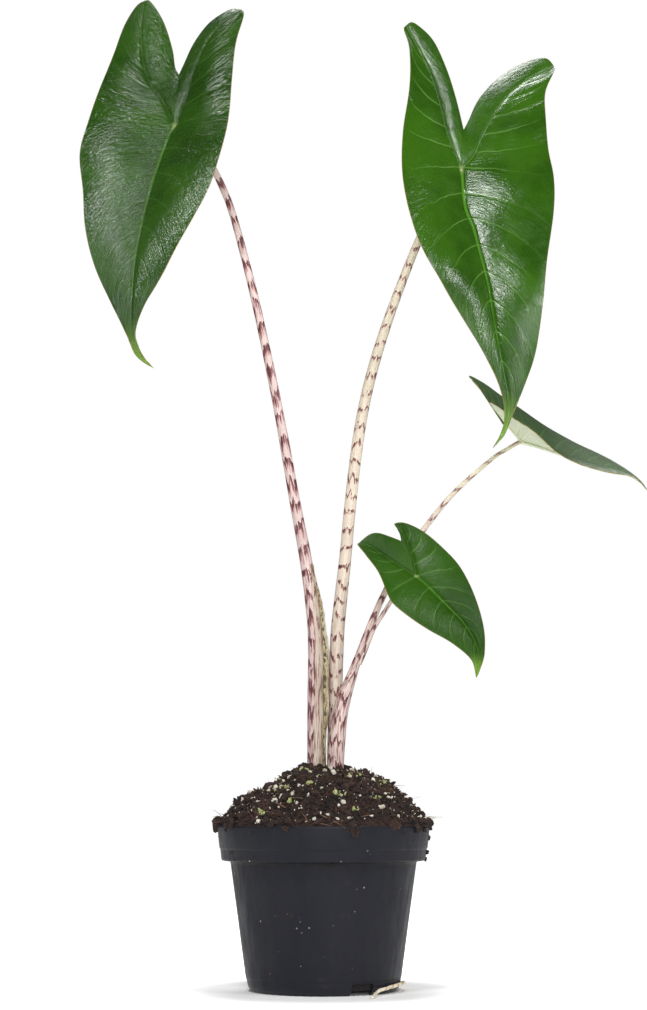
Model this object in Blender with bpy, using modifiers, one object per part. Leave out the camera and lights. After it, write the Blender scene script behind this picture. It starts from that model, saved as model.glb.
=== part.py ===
"""Arrow-leaved houseplant with banded leaf stalks, standing in its nursery pot.

Metres, +Z up, the viewer at -Y. The origin is the middle of the pot's base,
on the surface it stands on. Lengths written in the tables below are in
millimetres and MM turns them into metres.
"""
import math

import bmesh
import bpy
from mathutils import Matrix, Vector, noise

MM = 0.001

# Pot, a 12 cm nursery pot (radius, height)
POT_STEPS = 56
POT_INSIDE = [(0, 2.4), (41.0, 2.4), (42.2, 4.4), (51.2, 70.3), (51.8, 71.9),
              (55.6, 72.6), (56.3, 73.6), (58.7, 91.0)]
POT_OUTSIDE = [(59.0, 91.8), (59.8, 91.8), (60.0, 91.3), (57.6, 72.6), (57.2, 72.0),
               (52.9, 71.4), (52.4, 70.6), (43.3, 4.6), (42.5, 2.2), (40.2, 0.0),
               (38.6, 0.0), (38.0, 1.2), (14.5, 1.2), (14.0, 0.0), (0, 0)]
NOTCH_ANGLES = (-60, 60, 180)
NOTCH_WIDTH, NOTCH_HEIGHT, NOTCH_IN, NOTCH_OUT = 13.4, 6.6, 37.0, 47.0

# Potting mix: root ball in the pot and the mound over the rim (radius, height)
SOIL_SEGMENTS = 40
PIT_X, PIT_Y, PIT_R, PIT_FLOOR = 1.4, -1.2, 12.6, 98.0
MOUND = [(15.5, 123.2), (23, 121.0), (31, 117.6), (39, 113.2), (46, 108.0), (52, 102.0),
         (56.5, 96.4), (58.6, 92.6)]
BALL = [(58.1, 89.2), (56.0, 73.9), (51.4, 72.9), (50.8, 70.0), (41.9, 4.7), (40.8, 2.7), (0, 2.7)]
MOUND_ROUGH = 1.5

# Corm the stalks grow from, set in the pit of the soil (radius, height)
CORM = [(0, 110.0), (9.6, 110.0), (11.2, 108.6), (12.0, 104.0), (11.0, 99.4), (9.0, 98.3), (0, 98.3)]

# Leaf stalks: (x, y, z, radius) up each centre line
STALK_LEFT = [(-4.4, 0.5, 110.3, 4.6), (-4.6, 0.6, 126, 4.6), (-4.7, 1.0, 160, 4.5),
              (-4.7, 1.5, 197, 4.3), (-6.9, 2.2, 220, 3.9), (-10.6, 4.2, 245, 3.5),
              (-16.7, 8, 278, 3.1), (-27.5, 14, 338, 2.65), (-40.4, 20, 399, 2.4),
              (-52.6, 24.5, 447, 2.1), (-60.5, 25.5, 469, 2.05), (-69.5, 24, 486, 2.0),
              (-79, 18.6, 497.2, 1.95), (-87.4, 9.85, 501.3, 1.9)]
STALK_RIGHT = [(5.8, 3.9, 110.3, 4.0), (6.0, 3.9, 126, 4.0), (6.6, 4.2, 160, 4.0),
               (7.7, 5, 197, 4.0), (9.8, 6.2, 220, 3.75), (12.5, 8, 244, 3.5),
               (15.9, 10, 279, 3.45), (20.2, 13, 314, 3.4), (24.7, 15.5, 339, 3.2),
               (30.7, 18, 363, 3.15), (38.2, 20.5, 387, 2.9), (46.8, 22.5, 411, 2.6),
               (56.3, 23, 435, 2.4), (64.5, 21.5, 452, 2.25), (72.5, 17, 466, 2.15),
               (80.8, 7.8, 474.7, 2.1)]
STALK_SIDE = [(6.6, -6.6, 110.3, 4.7), (6.8, -6.6, 126, 4.7), (8.8, -6.4, 150, 4.4),
              (11.0, -6.2, 161, 4.1), (13.6, -5.9, 169, 3.5), (16.6, -5.5, 177.5, 2.8),
              (20.0, -5.0, 187, 2.15), (24.6, -3.8, 199, 2.05), (33.2, -0.5, 219.6, 1.8),
              (45.5, 6, 243, 1.65), (61.5, 15, 266, 1.6), (78.0, 25, 286, 1.4),
              (99.5, 35.5, 306, 1.15), (109.0, 39.2, 312.6, 1.1), (117.6, 41.6, 317.0, 1.1)]
STALK_SMALL = [(23.0, -7.6, 188, 1.1), (25.6, -7.4, 195, 1.15), (28.7, -7.2, 202.5, 1.15),
               (34.0, -8.4, 211, 1.15), (39.6, -11.4, 219.4, 1.1), (45.5, -15.4, 226, 1.05),
               (51.8, -20.1, 230.6, 1.0)]
STALK_RES, STALK_SIDES = 2, 2

# Sheath along the left stalk: (height, centre x, centre y, radius, start and end angle, flare)
SHEATH = [(126, -4.6, 0.6, 5.6, -100, -32, 1.2), (143, -4.7, 0.8, 5.6, -95, -25, 2.0),
          (160, -4.7, 1.0, 5.55, -90, -20, 3.0), (178, -4.7, 1.25, 5.5, -88, -20, 3.2),
          (197, -4.8, 1.55, 5.45, -85, -20, 2.8), (212, -6.2, 2.05, 5.2, -80, -20, 2.0),
          (227, -8.1, 2.9, 4.95, -70, -20, 1.2), (240, -9.9, 4.0, 4.65, -55, -20, 0.4)]
SHEATH_THICK = 0.8

# Root grown out of a drain notch and lying along the foot
ROOT = [(19.1, 33.1, 1.35, 0.9), (21.6, 37.4, 1.3, 0.95), (24.2, 42.0, 1.3, 0.95),
        (29.5, 40.0, 1.3, 0.95), (36.0, 31.5, 1.4, 0.95), (41.5, 20.5, 2.2, 0.95),
        (44.3, 9.0, 3.4, 0.95), (44.9, -1.0, 4.6, 0.9), (43.6, -10.8, 4.8, 0.9),
        (39.8, -21.0, 4.4, 0.9), (34.8, -29.0, 3.6, 0.9), (30.4, -35.4, 2.8, 0.9),
        (28.0, -43.0, 1.8, 0.85), (27.0, -50.5, 1.3, 0.8), (26.3, -56.5, 1.1, 0.65)]

LEAF_THICK = 0.9
ROWS_LOBE, ROWS_BLADE, COLS = 6, 11, 4

# Each leaf in its own plane: x across, y along the midrib (the tip is at -y), from the
# stalk's joint. turn, lean and roll stand that plane up; fold lifts the margins, arch and
# lobe_back bend the blade along its length. A third number is a height given outright.
LEAVES = {
    "blade_left": dict(
        at=(-87.8, 8, 501.7), turn=-10, lean=15, fold=12, arch=9, lobe_back=-0.12, bulge=0.05,
        mid=[(-3, -9), (-7, -30), (-10, -49), (-13, -74), (-15, -96), (-15.5, -118), (-15, -138),
             (-11.5, -149), (-1, -159)],
        rib_left=[(-10, 20), (-19, 33), (-25, 50), (-29, 75), (-29, 98)],
        rib_right=[(3, 14), (6, 28), (8, 43), (13, 61), (21, 75), (32, 85)],
        upper_left=[(-34, 93), (-39, 79), (-43, 56), (-47, 27), (-50, -3)],
        lower_left=[(-52, -26), (-48, -50), (-44, -76), (-37, -100), (-27, -121), (-17, -140),
                    (-12, -151), (-6, -156.5)],
        upper_right=[(35, 80), (33, 60), (33, 30), (34, 2)],
        lower_right=[(33, -23), (28, -49), (20, -70), (12, -87), (3, -105), (-7, -121), (-12, -137),
                     (-10.5, -146), (-6.5, -153.5)],
        sinus_left=[(-25, 97), (-16, 82), (-9, 62), (-6, 48)],
        sinus_right=[(26, 87), (18, 85.5), (10, 79), (3, 63), (-1, 48)], notch=(-3, 42)),
    "blade_right": dict(
        at=(81.2, 6, 475.1), turn=12, lean=15, fold=12, arch=9, lobe_back=-0.12, bulge=0.05,
        mid=[(-1, -28), (2, -42), (4, -58), (7, -80), (9, -106), (12, -131), (14.5, -150), (13.5, -162),
             (10.5, -171.5), (4, -180)],
        rib_left=[(-3, 13), (-6, 28), (-8, 48), (-12, 72), (-23, 106)],
        rib_right=[(8, 9), (17, 27), (30, 50), (46, 68), (69, 84)],
        upper_left=[(-25, 102), (-23, 86), (-27, 55), (-35, 20), (-39, -9)],
        lower_left=[(-38, -35), (-32, -64), (-22, -88), (-9, -108), (2, -129), (10, -146), (11.5, -162),
                    (8.5, -172), (5.5, -177.5)],
        upper_right=[(67, 77), (59, 60), (55, 40), (53, 14), (52, -10)],
        lower_right=[(49, -33), (42, -66), (36, -97), (31, -124), (24, -143), (16, -161), (12, -171),
                     (7.5, -176.5)],
        sinus_left=[(-18, 108), (-8, 95), (-2, 74), (2, 48)],
        sinus_right=[(64, 91), (50, 88), (34, 76), (19, 57), (10, 39)], notch=(5, 29)),
    "blade_small": dict(
        at=(52.1, -22, 231.1), turn=8, lean=15, fold=10, arch=3, lobe_back=-0.10, bulge=0.05,
        mid=[(6, -6), (11, -12), (17, -19), (24, -27), (29, -35), (32, -43), (33, -51), (31, -60)],
        rib_left=[(-8, 6), (-17, 13), (-25, 19), (-31, 21)],
        rib_right=[(-2, 9), (-6, 18), (-9, 26), (-10, 33)],
        upper_left=[(-32, 19), (-28, 12), (-22, 1), (-18, -14)],
        lower_left=[(-15, -20), (-7, -27), (5, -35), (18, -42), (28, -50)],
        upper_right=[(-4, 33), (6, 27), (16, 17), (25, 4)],
        lower_right=[(32, -14), (36, -31), (36, -46), (33, -56)],
        sinus_left=[(-25, 26), (-20, 27), (-14, 25)],
        sinus_right=[(-8, 30), (-7, 26)], notch=(-7, 22)),
    "blade_side": dict(
        at=(118.3, 42, 318.6), axes=((-0.23, 0.97, 0.0), (-0.92, -0.22, 0.32)), bulge=0.06,
        mid=[(0, -12, 1), (0, -25, 1.5), (0, -41, 2.5), (0, -57, 4), (0, -71, 4), (0, -79, 2.5),
             (0, -84, -1)],
        rib_left=[(-6, 11, 3.5), (-12, 21, 7), (-17, 30, 10)],
        rib_right=[(6, 12, 9), (13, 25, 21), (21, 38, 31)],
        upper_left=[(-22, 26, 8), (-26, 16, 4), (-27, 1, 0)],
        lower_left=[(-25, -14, -5), (-20, -30, -6), (-14, -47, -4), (-6.5, -64, 1), (-3, -73, 3)],
        upper_right=[(25, 31, 32), (28, 14, 29), (29, 0, 26)],
        lower_right=[(28.5, -19, 21), (26, -37, 18), (21, -54, 15), (12, -70, 10), (4, -79, 4)],
        sinus_left=[(-12, 21, 8), (-5, 15, 5)],
        sinus_right=[(15, 33, 26), (8, 25, 17)], notch=(0, 14, 5)),
}

COLOURS = {
    "pot_plastic": ((0.030, 0.032, 0.040, 1), 0.45),
    "potting_mix": ((0.035, 0.022, 0.017, 1), 0.95),
    "corm_flesh": ((0.32, 0.20, 0.12, 1), 0.8),
    "stalk_skin": ((0.66, 0.50, 0.46, 1), 0.45),
    "sheath_skin": ((0.62, 0.58, 0.30, 1), 0.5),
    "leaf_blade": ((0.055, 0.15, 0.012, 1), 0.32),
    "root_flesh": ((0.78, 0.72, 0.60, 1), 0.7),
}


def clear_scene():
    """Take away every object and leftover block so the script can run again."""
    for item in list(bpy.data.objects):
        bpy.data.objects.remove(item, do_unlink=True)
    for blocks in (bpy.data.meshes, bpy.data.curves, bpy.data.materials, bpy.data.collections):
        for item in list(blocks):
            blocks.remove(item)


def collection(name):
    found = bpy.data.collections.new(name)
    bpy.context.scene.collection.children.link(found)
    return found


def material(slot):
    colour, rough = COLOURS[slot]
    mat = bpy.data.materials.get(slot) or bpy.data.materials.new(slot)
    mat.use_nodes = True
    shader = mat.node_tree.nodes["Principled BSDF"]
    shader.inputs["Base Color"].default_value = colour
    shader.inputs["Roughness"].default_value = rough
    shader.inputs["Metallic"].default_value = 0.0
    return mat


def add_object(name, data, slot, group, smooth=True):
    item = bpy.data.objects.new(name, data)
    data.materials.append(material(slot))
    group.objects.link(item)
    if smooth and hasattr(data, "polygons"):
        for face in data.polygons:
            face.use_smooth = True
    return item


def mesh_from(name, bm):
    mesh = bpy.data.meshes.new(name)
    bm.to_mesh(mesh)
    bm.free()
    return mesh


def turned(name, profile, steps, slot, group):
    """A closed profile turned round the Z axis; its outer side runs downwards."""
    mesh = bpy.data.meshes.new(name)
    points = [(r * MM, 0, z * MM) for r, z in profile]
    mesh.from_pydata(points, [(i, i + 1) for i in range(len(points) - 1)], [])
    item = add_object(name, mesh, slot, group)
    screw = item.modifiers.new("turn", "SCREW")
    screw.axis = "Z"
    screw.steps = screw.render_steps = steps
    screw.use_merge_vertices = True
    screw.merge_threshold = 0.00005
    screw.use_smooth_shade = True
    return item


def box_cutter(name, size, centre, turn, group):
    bm = bmesh.new()
    bmesh.ops.create_cube(bm, size=1.0)
    bmesh.ops.scale(bm, vec=Vector(size) * MM, verts=bm.verts)
    bmesh.ops.translate(bm, vec=Vector(centre) * MM, verts=bm.verts)
    bmesh.ops.rotate(bm, cent=(0, 0, 0), matrix=Matrix.Rotation(turn, 3, "Z"), verts=bm.verts)
    item = bpy.data.objects.new(name, mesh_from(name, bm))
    item.hide_render = True
    item.display_type = "WIRE"
    group.objects.link(item)
    return item


def build_pot(group, cutters):
    pot = turned("nursery_pot", POT_INSIDE + POT_OUTSIDE, POT_STEPS, "pot_plastic", group)
    depth = NOTCH_OUT - NOTCH_IN
    for i, angle in enumerate(NOTCH_ANGLES):
        cutter = box_cutter(f"notch_{i}", (depth, NOTCH_WIDTH, NOTCH_HEIGHT + 4),
                            ((NOTCH_IN + NOTCH_OUT) / 2, 0, NOTCH_HEIGHT / 2 - 2),
                            math.radians(angle), cutters)
        cut = pot.modifiers.new(f"notch_{i}", "BOOLEAN")
        cut.operation = "DIFFERENCE"
        cut.solver = "EXACT"
        cut.object = cutter
    return pot


def rough(x, y, seed=0.0):
    """Uneven ground, from -1 to 1, the same on every run."""
    return (0.6 * noise.noise(Vector((x * 0.09 + seed, y * 0.09, 0.3)))
            + 0.4 * noise.noise(Vector((x * 0.22, y * 0.22 + seed, 1.7))))


def build_soil(group):
    """Rings from the pit's floor up over the mound and down round the root ball."""
    bm = bmesh.new()
    rings = [("pit", PIT_R - 0.6, PIT_FLOOR), ("pit", PIT_R, PIT_FLOOR + 0.6), ("pit", PIT_R, 122.0)]
    rings += [("mound", r, z) for r, z in MOUND] + [("ball", r, z) for r, z in BALL[:-1]]
    loops = []
    for kind, radius, height in rings:
        loop = []
        for k in range(SOIL_SEGMENTS):
            a = 2 * math.pi * k / SOIL_SEGMENTS
            cx, cy = (PIT_X, PIT_Y) if kind == "pit" or radius < 20 else (0, 0)
            x, y, z = cx + radius * math.cos(a), cy + radius * math.sin(a), height
            if kind == "mound" and 20 < radius < 57:
                z += MOUND_ROUGH * 2 * rough(x, y)
            loop.append(bm.verts.new((x * MM, y * MM, z * MM)))
        loops.append(loop)
    for lower, upper in zip(loops, loops[1:]):
        for k in range(SOIL_SEGMENTS):
            n = (k + 1) % SOIL_SEGMENTS
            bm.faces.new((lower[k], lower[n], upper[n], upper[k]))
    for loop, x, y, z in ((loops[0], PIT_X, PIT_Y, PIT_FLOOR), (loops[-1], 0, 0, BALL[-1][1])):
        pole = bm.verts.new((x * MM, y * MM, z * MM))
        for k in range(SOIL_SEGMENTS):
            bm.faces.new((loop[k], loop[(k + 1) % SOIL_SEGMENTS], pole))
    bmesh.ops.recalc_face_normals(bm, faces=bm.faces)
    return add_object("potting_soil", mesh_from("potting_soil", bm), "potting_mix", group)


def build_corm(group):
    corm = turned("corm", CORM, 20, "corm_flesh", group)
    corm.location = (PIT_X * MM, PIT_Y * MM, 0)
    return corm


def tube(name, points, slot, group, sides=STALK_SIDES, res=STALK_RES):
    """A round stalk along a curve, thinner or thicker from point to point."""
    curve = bpy.data.curves.new(name, "CURVE")
    curve.dimensions = "3D"
    curve.resolution_u = curve.render_resolution_u = res
    curve.bevel_depth = MM
    curve.bevel_resolution = sides
    curve.use_fill_caps = True
    curve.twist_mode = "MINIMUM"
    spline = curve.splines.new("BEZIER")
    spline.bezier_points.add(len(points) - 1)
    for knot, (x, y, z, radius) in zip(spline.bezier_points, points):
        knot.co = (x * MM, y * MM, z * MM)
        knot.radius = radius
        knot.handle_left_type = knot.handle_right_type = "AUTO"
    spline.use_smooth = True
    return add_object(name, curve, slot, group)


def build_sheath(group):
    """The thin wing of the left stalk's sheath, a curved strip beside the stalk."""
    bm = bmesh.new()
    rows = []
    for z, cx, cy, radius, start, end, flare in SHEATH:
        row = []
        for k in range(5):
            a = math.radians(start + (end - start) * k / 4)
            row.append((cx + radius * math.cos(a), cy + radius * math.sin(a)))
        out = math.radians(end + 8)
        row.append((row[-1][0] + flare * math.cos(out), row[-1][1] + flare * math.sin(out)))
        rows.append([bm.verts.new((x * MM, y * MM, z * MM)) for x, y in row])
    for low, high in zip(rows, rows[1:]):
        for k in range(len(low) - 1):
            bm.faces.new((low[k], low[k + 1], high[k + 1], high[k]))
    item = add_object("sheath_left", mesh_from("sheath_left", bm), "sheath_skin", group)
    shell = item.modifiers.new("thick", "SOLIDIFY")
    shell.thickness = SHEATH_THICK * MM
    shell.offset = 0
    return item


def smooth_line(points, count):
    """count + 1 points evenly spread along a smooth line through the given ones."""
    pts = [Vector(p) for p in points]
    pts = [2 * pts[0] - pts[1]] + pts + [2 * pts[-1] - pts[-2]]
    dense = []
    for i in range(1, len(pts) - 2):
        p0, p1, p2, p3 = pts[i - 1:i + 3]
        for k in range(8):
            t = k / 8
            dense.append(0.5 * ((2 * p1) + (p2 - p0) * t + (2 * p0 - 5 * p1 + 4 * p2 - p3) * t * t
                                + (3 * p1 - p0 - 3 * p2 + p3) * t ** 3))
    dense.append(pts[-2])
    run = [0.0]
    for a, b in zip(dense, dense[1:]):
        run.append(run[-1] + (b - a).length)
    out, j = [], 0
    for i in range(count + 1):
        want = run[-1] * i / count
        while j < len(run) - 2 and run[j + 1] < want:
            j += 1
        span = run[j + 1] - run[j] or 1.0
        out.append(dense[j].lerp(dense[j + 1], min(1.0, max(0.0, (want - run[j]) / span))))
    return out


def leaf_lines(leaf):
    """The leaf's ribs and edges as 3-D lines in its own frame, heights included."""
    length = -leaf["mid"][-1][1]
    mid = [(0, 0)] + [p[:2] for p in leaf["mid"]]

    def spine(p):
        if len(p) == 3:
            return Vector(p)
        if p[1] > 0:
            return Vector((p[0], p[1], leaf["lobe_back"] * math.hypot(p[0], p[1])))
        return Vector((p[0], p[1], leaf["arch"] * math.sin(math.pi * min(1.0, -p[1] / length))))

    def across(y, rib):
        line = sorted(rib + [(0, 0)] if y > 0 else mid, key=lambda q: q[1])
        for a, b in zip(line, line[1:]):
            if a[1] <= y <= b[1]:
                return a[0] + (b[0] - a[0]) * (y - a[1]) / ((b[1] - a[1]) or 1.0)
        return line[0][0] if y < line[0][1] else line[-1][0]

    def margin(p, rib):
        if len(p) == 3:
            return Vector(p)
        middle = across(p[1], rib)
        lift = math.tan(math.radians(leaf["fold"])) * abs(p[0] - middle)
        return Vector((p[0], p[1], spine((middle, p[1])).z + lift))

    origin = Vector((0, 0, 0))
    lines = {"mid": [origin] + [spine(p) for p in leaf["mid"]], "notch": spine(leaf["notch"])}
    for side in ("left", "right"):
        rib = [p[:2] for p in leaf["rib_" + side]]
        tip = spine(leaf["rib_" + side][-1])
        lines["rib_" + side] = [tip] + [spine(p) for p in leaf["rib_" + side][-2::-1]] + [origin]
        upper = [tip] + [margin(p, rib) for p in leaf["upper_" + side]]
        lines["upper_" + side] = upper
        lines["lower_" + side] = [upper[-1]] + [margin(p, rib) for p in leaf["lower_" + side]] \
            + [lines["mid"][-1]]
        lines["sinus_" + side] = [tip] + [spine(p) for p in leaf["sinus_" + side]] + [lines["notch"]]
    return lines


def leaf_frame(leaf):
    """Leaf axes in the world: across, along and out of the upper face."""
    if "axes" in leaf:
        ex, ey = (Vector(v).normalized() for v in leaf["axes"])
    else:
        lean, turn = math.radians(leaf["lean"]), math.radians(leaf["turn"])
        spin = Matrix.Rotation(turn, 3, "Z")
        ex = spin @ Vector((1, 0, 0))
        ey = spin @ Vector((0, math.sin(lean), math.cos(lean)))
    en = ex.cross(ey).normalized()
    ey = en.cross(ex)
    return Matrix((ex, ey, en)).transposed()


def build_leaf(name, group):
    leaf = LEAVES[name]
    lines = leaf_lines(leaf)
    turn, at = leaf_frame(leaf), Vector(leaf["at"])
    bm = bmesh.new()

    def patch(inner, outer, flip, bulge):
        rows = []
        for a, b in zip(inner, outer):
            width = (b - a).length
            row = []
            for k in range(COLS + 1):
                s = k / COLS
                p = a.lerp(b, s)
                p.z += bulge * width * 4 * s * (1 - s)
                row.append(bm.verts.new((at + turn @ p) * MM))
            rows.append(row)
        for low, high in zip(rows, rows[1:]):
            for k in range(COLS):
                quad = (low[k], low[k + 1], high[k + 1], high[k])
                bm.faces.new(quad[::-1] if flip else quad)

    for side, flip in (("left", True), ("right", False)):
        rib = smooth_line(lines["rib_" + side], ROWS_LOBE)
        sinus = smooth_line(lines["sinus_" + side], ROWS_LOBE)
        upper = smooth_line(lines["upper_" + side], ROWS_LOBE)
        patch(rib, upper, not flip, leaf["bulge"])
        patch(rib, sinus, flip, leaf["bulge"])
        patch(smooth_line(lines["mid"], ROWS_BLADE), smooth_line(lines["lower_" + side], ROWS_BLADE),
              not flip, leaf["bulge"])
    bmesh.ops.remove_doubles(bm, verts=bm.verts, dist=0.00002)
    bmesh.ops.dissolve_degenerate(bm, edges=bm.edges, dist=0.00002)
    bmesh.ops.recalc_face_normals(bm, faces=bm.faces)
    facing = sum((f.normal * f.calc_area() for f in bm.faces), Vector())
    if facing.dot(turn @ Vector((0, 0, 1))) < 0:
        bmesh.ops.reverse_faces(bm, faces=bm.faces)
    item = add_object(name, mesh_from(name, bm), "leaf_blade", group)
    shell = item.modifiers.new("thick", "SOLIDIFY")
    shell.thickness = LEAF_THICK * MM
    shell.offset = -1
    return item


def main():
    clear_scene()
    group = collection("arrow_leaf_plant")
    cutters = collection("cutters")
    build_pot(group, cutters)
    build_soil(group)
    build_corm(group)
    tube("petiole_left", STALK_LEFT, "stalk_skin", group)
    tube("petiole_right", STALK_RIGHT, "stalk_skin", group)
    tube("petiole_side", STALK_SIDE, "stalk_skin", group)
    tube("petiole_small", STALK_SMALL, "stalk_skin", group, sides=1)
    build_sheath(group)
    tube("drain_root", ROOT, "root_flesh", group, sides=1)
    for name in LEAVES:
        build_leaf(name, group)


main()
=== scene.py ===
"""Arrow-leaved houseplant with banded stalks in a black nursery pot, as a visual model."""

import math
import random

import bmesh
import bpy
import numpy as np
from bpy.props import FloatProperty, FloatVectorProperty, IntProperty, PointerProperty
from mathutils import Matrix, Vector, noise


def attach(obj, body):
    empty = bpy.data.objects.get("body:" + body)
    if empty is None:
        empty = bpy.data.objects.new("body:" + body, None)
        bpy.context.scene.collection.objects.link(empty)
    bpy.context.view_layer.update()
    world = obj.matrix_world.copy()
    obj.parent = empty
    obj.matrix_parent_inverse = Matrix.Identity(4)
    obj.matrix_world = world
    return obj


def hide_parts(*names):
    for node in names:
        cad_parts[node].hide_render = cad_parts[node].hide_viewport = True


bl_info = {
    "name": "Potted Arrow-Leaf Plant",
    "version": (1, 0, 0),
    "blender": (4, 5, 0),
    "location": "3D View > Sidebar > Plant",
    "description": "Builds a houseplant with arrow-shaped leaves in a nursery pot, and a plain studio",
    "category": "Object",
}

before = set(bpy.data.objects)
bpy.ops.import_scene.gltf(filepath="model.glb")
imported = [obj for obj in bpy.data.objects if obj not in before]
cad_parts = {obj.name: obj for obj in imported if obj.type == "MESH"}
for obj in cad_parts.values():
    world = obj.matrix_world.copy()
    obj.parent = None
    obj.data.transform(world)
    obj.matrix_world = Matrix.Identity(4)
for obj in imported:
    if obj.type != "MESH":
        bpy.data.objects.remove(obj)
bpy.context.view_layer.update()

MM = 0.001
LINE_STEPS = 16
WHITE = (1, 1, 1)

# Gloss of the grown leaves and of the young ones
GLOSSY, SATIN = 0.44, 0.16

# Veins of a lobe for each one beside the midrib, their sweep in vein spacings, the edge's waves for
# each vein, and the swelling between veins as a share of the waves
LOBE_VEINS, VEIN_SWEEP, EDGE_WAVES, QUILTING = 0.7, 2.1, 0.37, 0.35

# Groove over a rib, and the ribs under a blade at the stalk and at the far end, in mm
GROOVE_DEPTH, GROOVE_WIDTH = 0.4, 1.4
RIB_RADII = (("mid", 1.9, 0.35), ("rib_left", 1.3, 0.3), ("rib_right", 1.3, 0.3))

# Share of the sheath's width that hugs the stalk, how much thicker the root is drawn, and the seed of
# the root's bumps
HUGGING, ROOT_SWELL, ROOT_SEED = 0.65, 1.05, 5

# Pot profile, outside from the rim down and then the inside (radius, height in mm)
POT_PROFILE = [
    (58.7, 91.2), (58.9, 91.7), (59.4, 91.85), (59.8, 91.7), (60.0, 91.2), (59.9, 90.2), (58.75, 79.4),
    (58.6, 79.0), (58.3, 78.7), (58.2, 78.3), (57.65, 73.4), (57.5, 72.6), (57.1, 72.2), (56.4, 72.05),
    (53.6, 71.9), (52.8, 71.6), (52.45, 70.9), (52.3, 69.8), (43.75, 8.2), (43.65, 7.6), (43.35, 7.3),
    (43.3, 6.8), (43.1, 4.9), (42.9, 3.9), (42.3, 2.4), (41.1, 0.9), (40.5, 0.3), (39.8, 0.0), (39.0, 0.0),
    (38.6, 0.3), (38.1, 1.2), (14.6, 1.2), (14.2, 0.3), (13.6, 0.0), (0.0, 0.0)]
POT_INNER = [(58.55, 90.4), (56.4, 74.2), (56.0, 73.2), (51.9, 72.2), (51.3, 70.6), (42.3, 4.6),
             (41.1, 2.4), (0.0, 2.4)]
RIM_RADIUS, RIM_TOP, BAND_TAPER = 60.0, 91.8, 0.125

# Drain notches in metres, and the step under the rim band, with a dark line of painted shade and soil just
# below it
NOTCH_ANGLES = (-60, 60, 180)
NOTCH_BOX, NOTCH_RADIUS, NOTCH_HEIGHT = (0.011, 0.0134, 0.009), 0.0425, 0.0021
STEP_HEIGHT = 0.0712

# Mound of potting mix (radius, height) and the root ball under it
MOUND = [(0, 124.6), (8, 124.3), (15.5, 123.2), (23, 121.2), (31, 117.8), (39, 113.2), (46, 107.6),
         (52, 101.4), (56.5, 95.6), (58.4, 92.0)]
BALL = [(58.1, 89.2), (56.0, 73.9), (51.4, 72.9), (50.8, 70.0), (41.9, 4.7), (40.8, 2.7), (0, 2.7)]

# Heaps of mix that hang over the rim: (angle, radius, height, spread, how many), angle from the front
HEAPS = [(-92, 60.5, 92.8, 3.2, 60), (-86, 59.6, 92.5, 3.5, 50), (-60, 59.5, 93, 3.0, 24),
         (-30, 59, 93, 3.0, 24), (16, 59.4, 91.6, 2.2, 34), (17, 60.2, 88.6, 1.4, 22),
         (40, 59, 92.5, 3.0, 20), (70, 59.4, 92.5, 3.0, 28), (88, 59.8, 92.2, 3.0, 46),
         (95, 59.5, 91.2, 2.6, 26),
         (88, 59.4, 84.5, 1.6, 8), (86, 58.4, 77.0, 1.2, 6), (84, 57.6, 73.0, 1.0, 5),
         (150, 59.5, 92.5, 3.5, 40), (200, 59.5, 92.5, 3.5, 40), (-20, 60.0, 90.6, 1.2, 5),
         (60, 60.0, 90.6, 1.4, 5)]
RIM_FIBRES = [-90, -86, 88, 92, 0, 30, 150, 210]

# Where moss shows on the mound
MOSS_PLACES = [(-38, -34), (-34, -37), (-32, -42), (7.5, -45), (28.5, -37), (31.5, -16), (-20, -30),
               (14, -28)]

# Stalks: centre line and radius in mm
STALKS = {
    "left": [(-4.6, 0.6, 118, 4.6), (-4.6, 0.6, 126, 4.6), (-4.7, 1.0, 160, 4.5), (-4.7, 1.5, 197, 4.3),
             (-6.9, 2.2, 220, 3.9), (-10.6, 4.2, 245, 3.5), (-16.7, 8, 278, 3.1), (-27.5, 14, 338, 2.65),
             (-40.4, 20, 399, 2.4), (-52.6, 24.5, 447, 2.1), (-60.0, 25.5, 468, 2.05),
             (-69.5, 23.5, 486, 2.0), (-79, 17.6, 496.8, 2.0), (-87.7, 8.7, 501.6, 2.1)],
    "right": [(5.9, 3.9, 118, 4.0), (6.0, 3.9, 126, 4.0), (6.6, 4.2, 160, 4.0), (7.7, 5, 197, 4.0),
              (9.8, 6.2, 220, 3.75), (12.5, 8, 244, 3.5), (15.9, 10, 279, 3.4), (20.2, 13, 314, 3.35),
              (24.7, 15.5, 339, 3.2), (30.7, 18, 363, 3.1), (38.2, 20.5, 387, 2.85), (46.8, 22.5, 411, 2.6),
              (56.3, 23, 435, 2.4), (64.5, 21.5, 452, 2.3), (72.5, 16.6, 466, 2.2), (81.1, 6.7, 475.0, 2.3)],
    "side": [(6.7, -6.6, 118, 4.7), (6.8, -6.6, 126, 4.7), (8.8, -6.4, 150, 4.4), (11.0, -6.2, 161, 4.1),
             (13.6, -5.9, 169, 3.5), (16.6, -5.5, 177.5, 2.8), (20.0, -5.0, 187, 2.2),
             (24.6, -3.8, 199, 2.1), (33.2, -0.5, 219.6, 1.85), (45.5, 6, 243, 1.7), (61.5, 15, 266, 1.6),
             (78.0, 25, 286, 1.4), (99.5, 35.5, 306, 1.2), (109.0, 39.2, 312.6, 1.15),
             (118.1, 41.8, 318.2, 1.2)],
    "small": [(20.6, -7.4, 182, 0.9), (23.0, -7.5, 188, 1.15), (25.6, -7.2, 195, 1.2),
              (28.7, -6.9, 202.5, 1.2), (34.0, -8.2, 211, 1.2), (39.6, -11.4, 219.4, 1.15),
              (45.5, -15.4, 226, 1.1), (52.0, -21.2, 230.9, 1.1)],
}
# How pink, how densely banded and how green towards the top each stalk is
STALK_LOOK = {"left": (0.9, 1.0, 0.0), "right": (0.15, 0.3, 0.15), "side": (0.75, 0.7, 0.7),
              "small": (0.45, 0.6, 0.3)}

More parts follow.
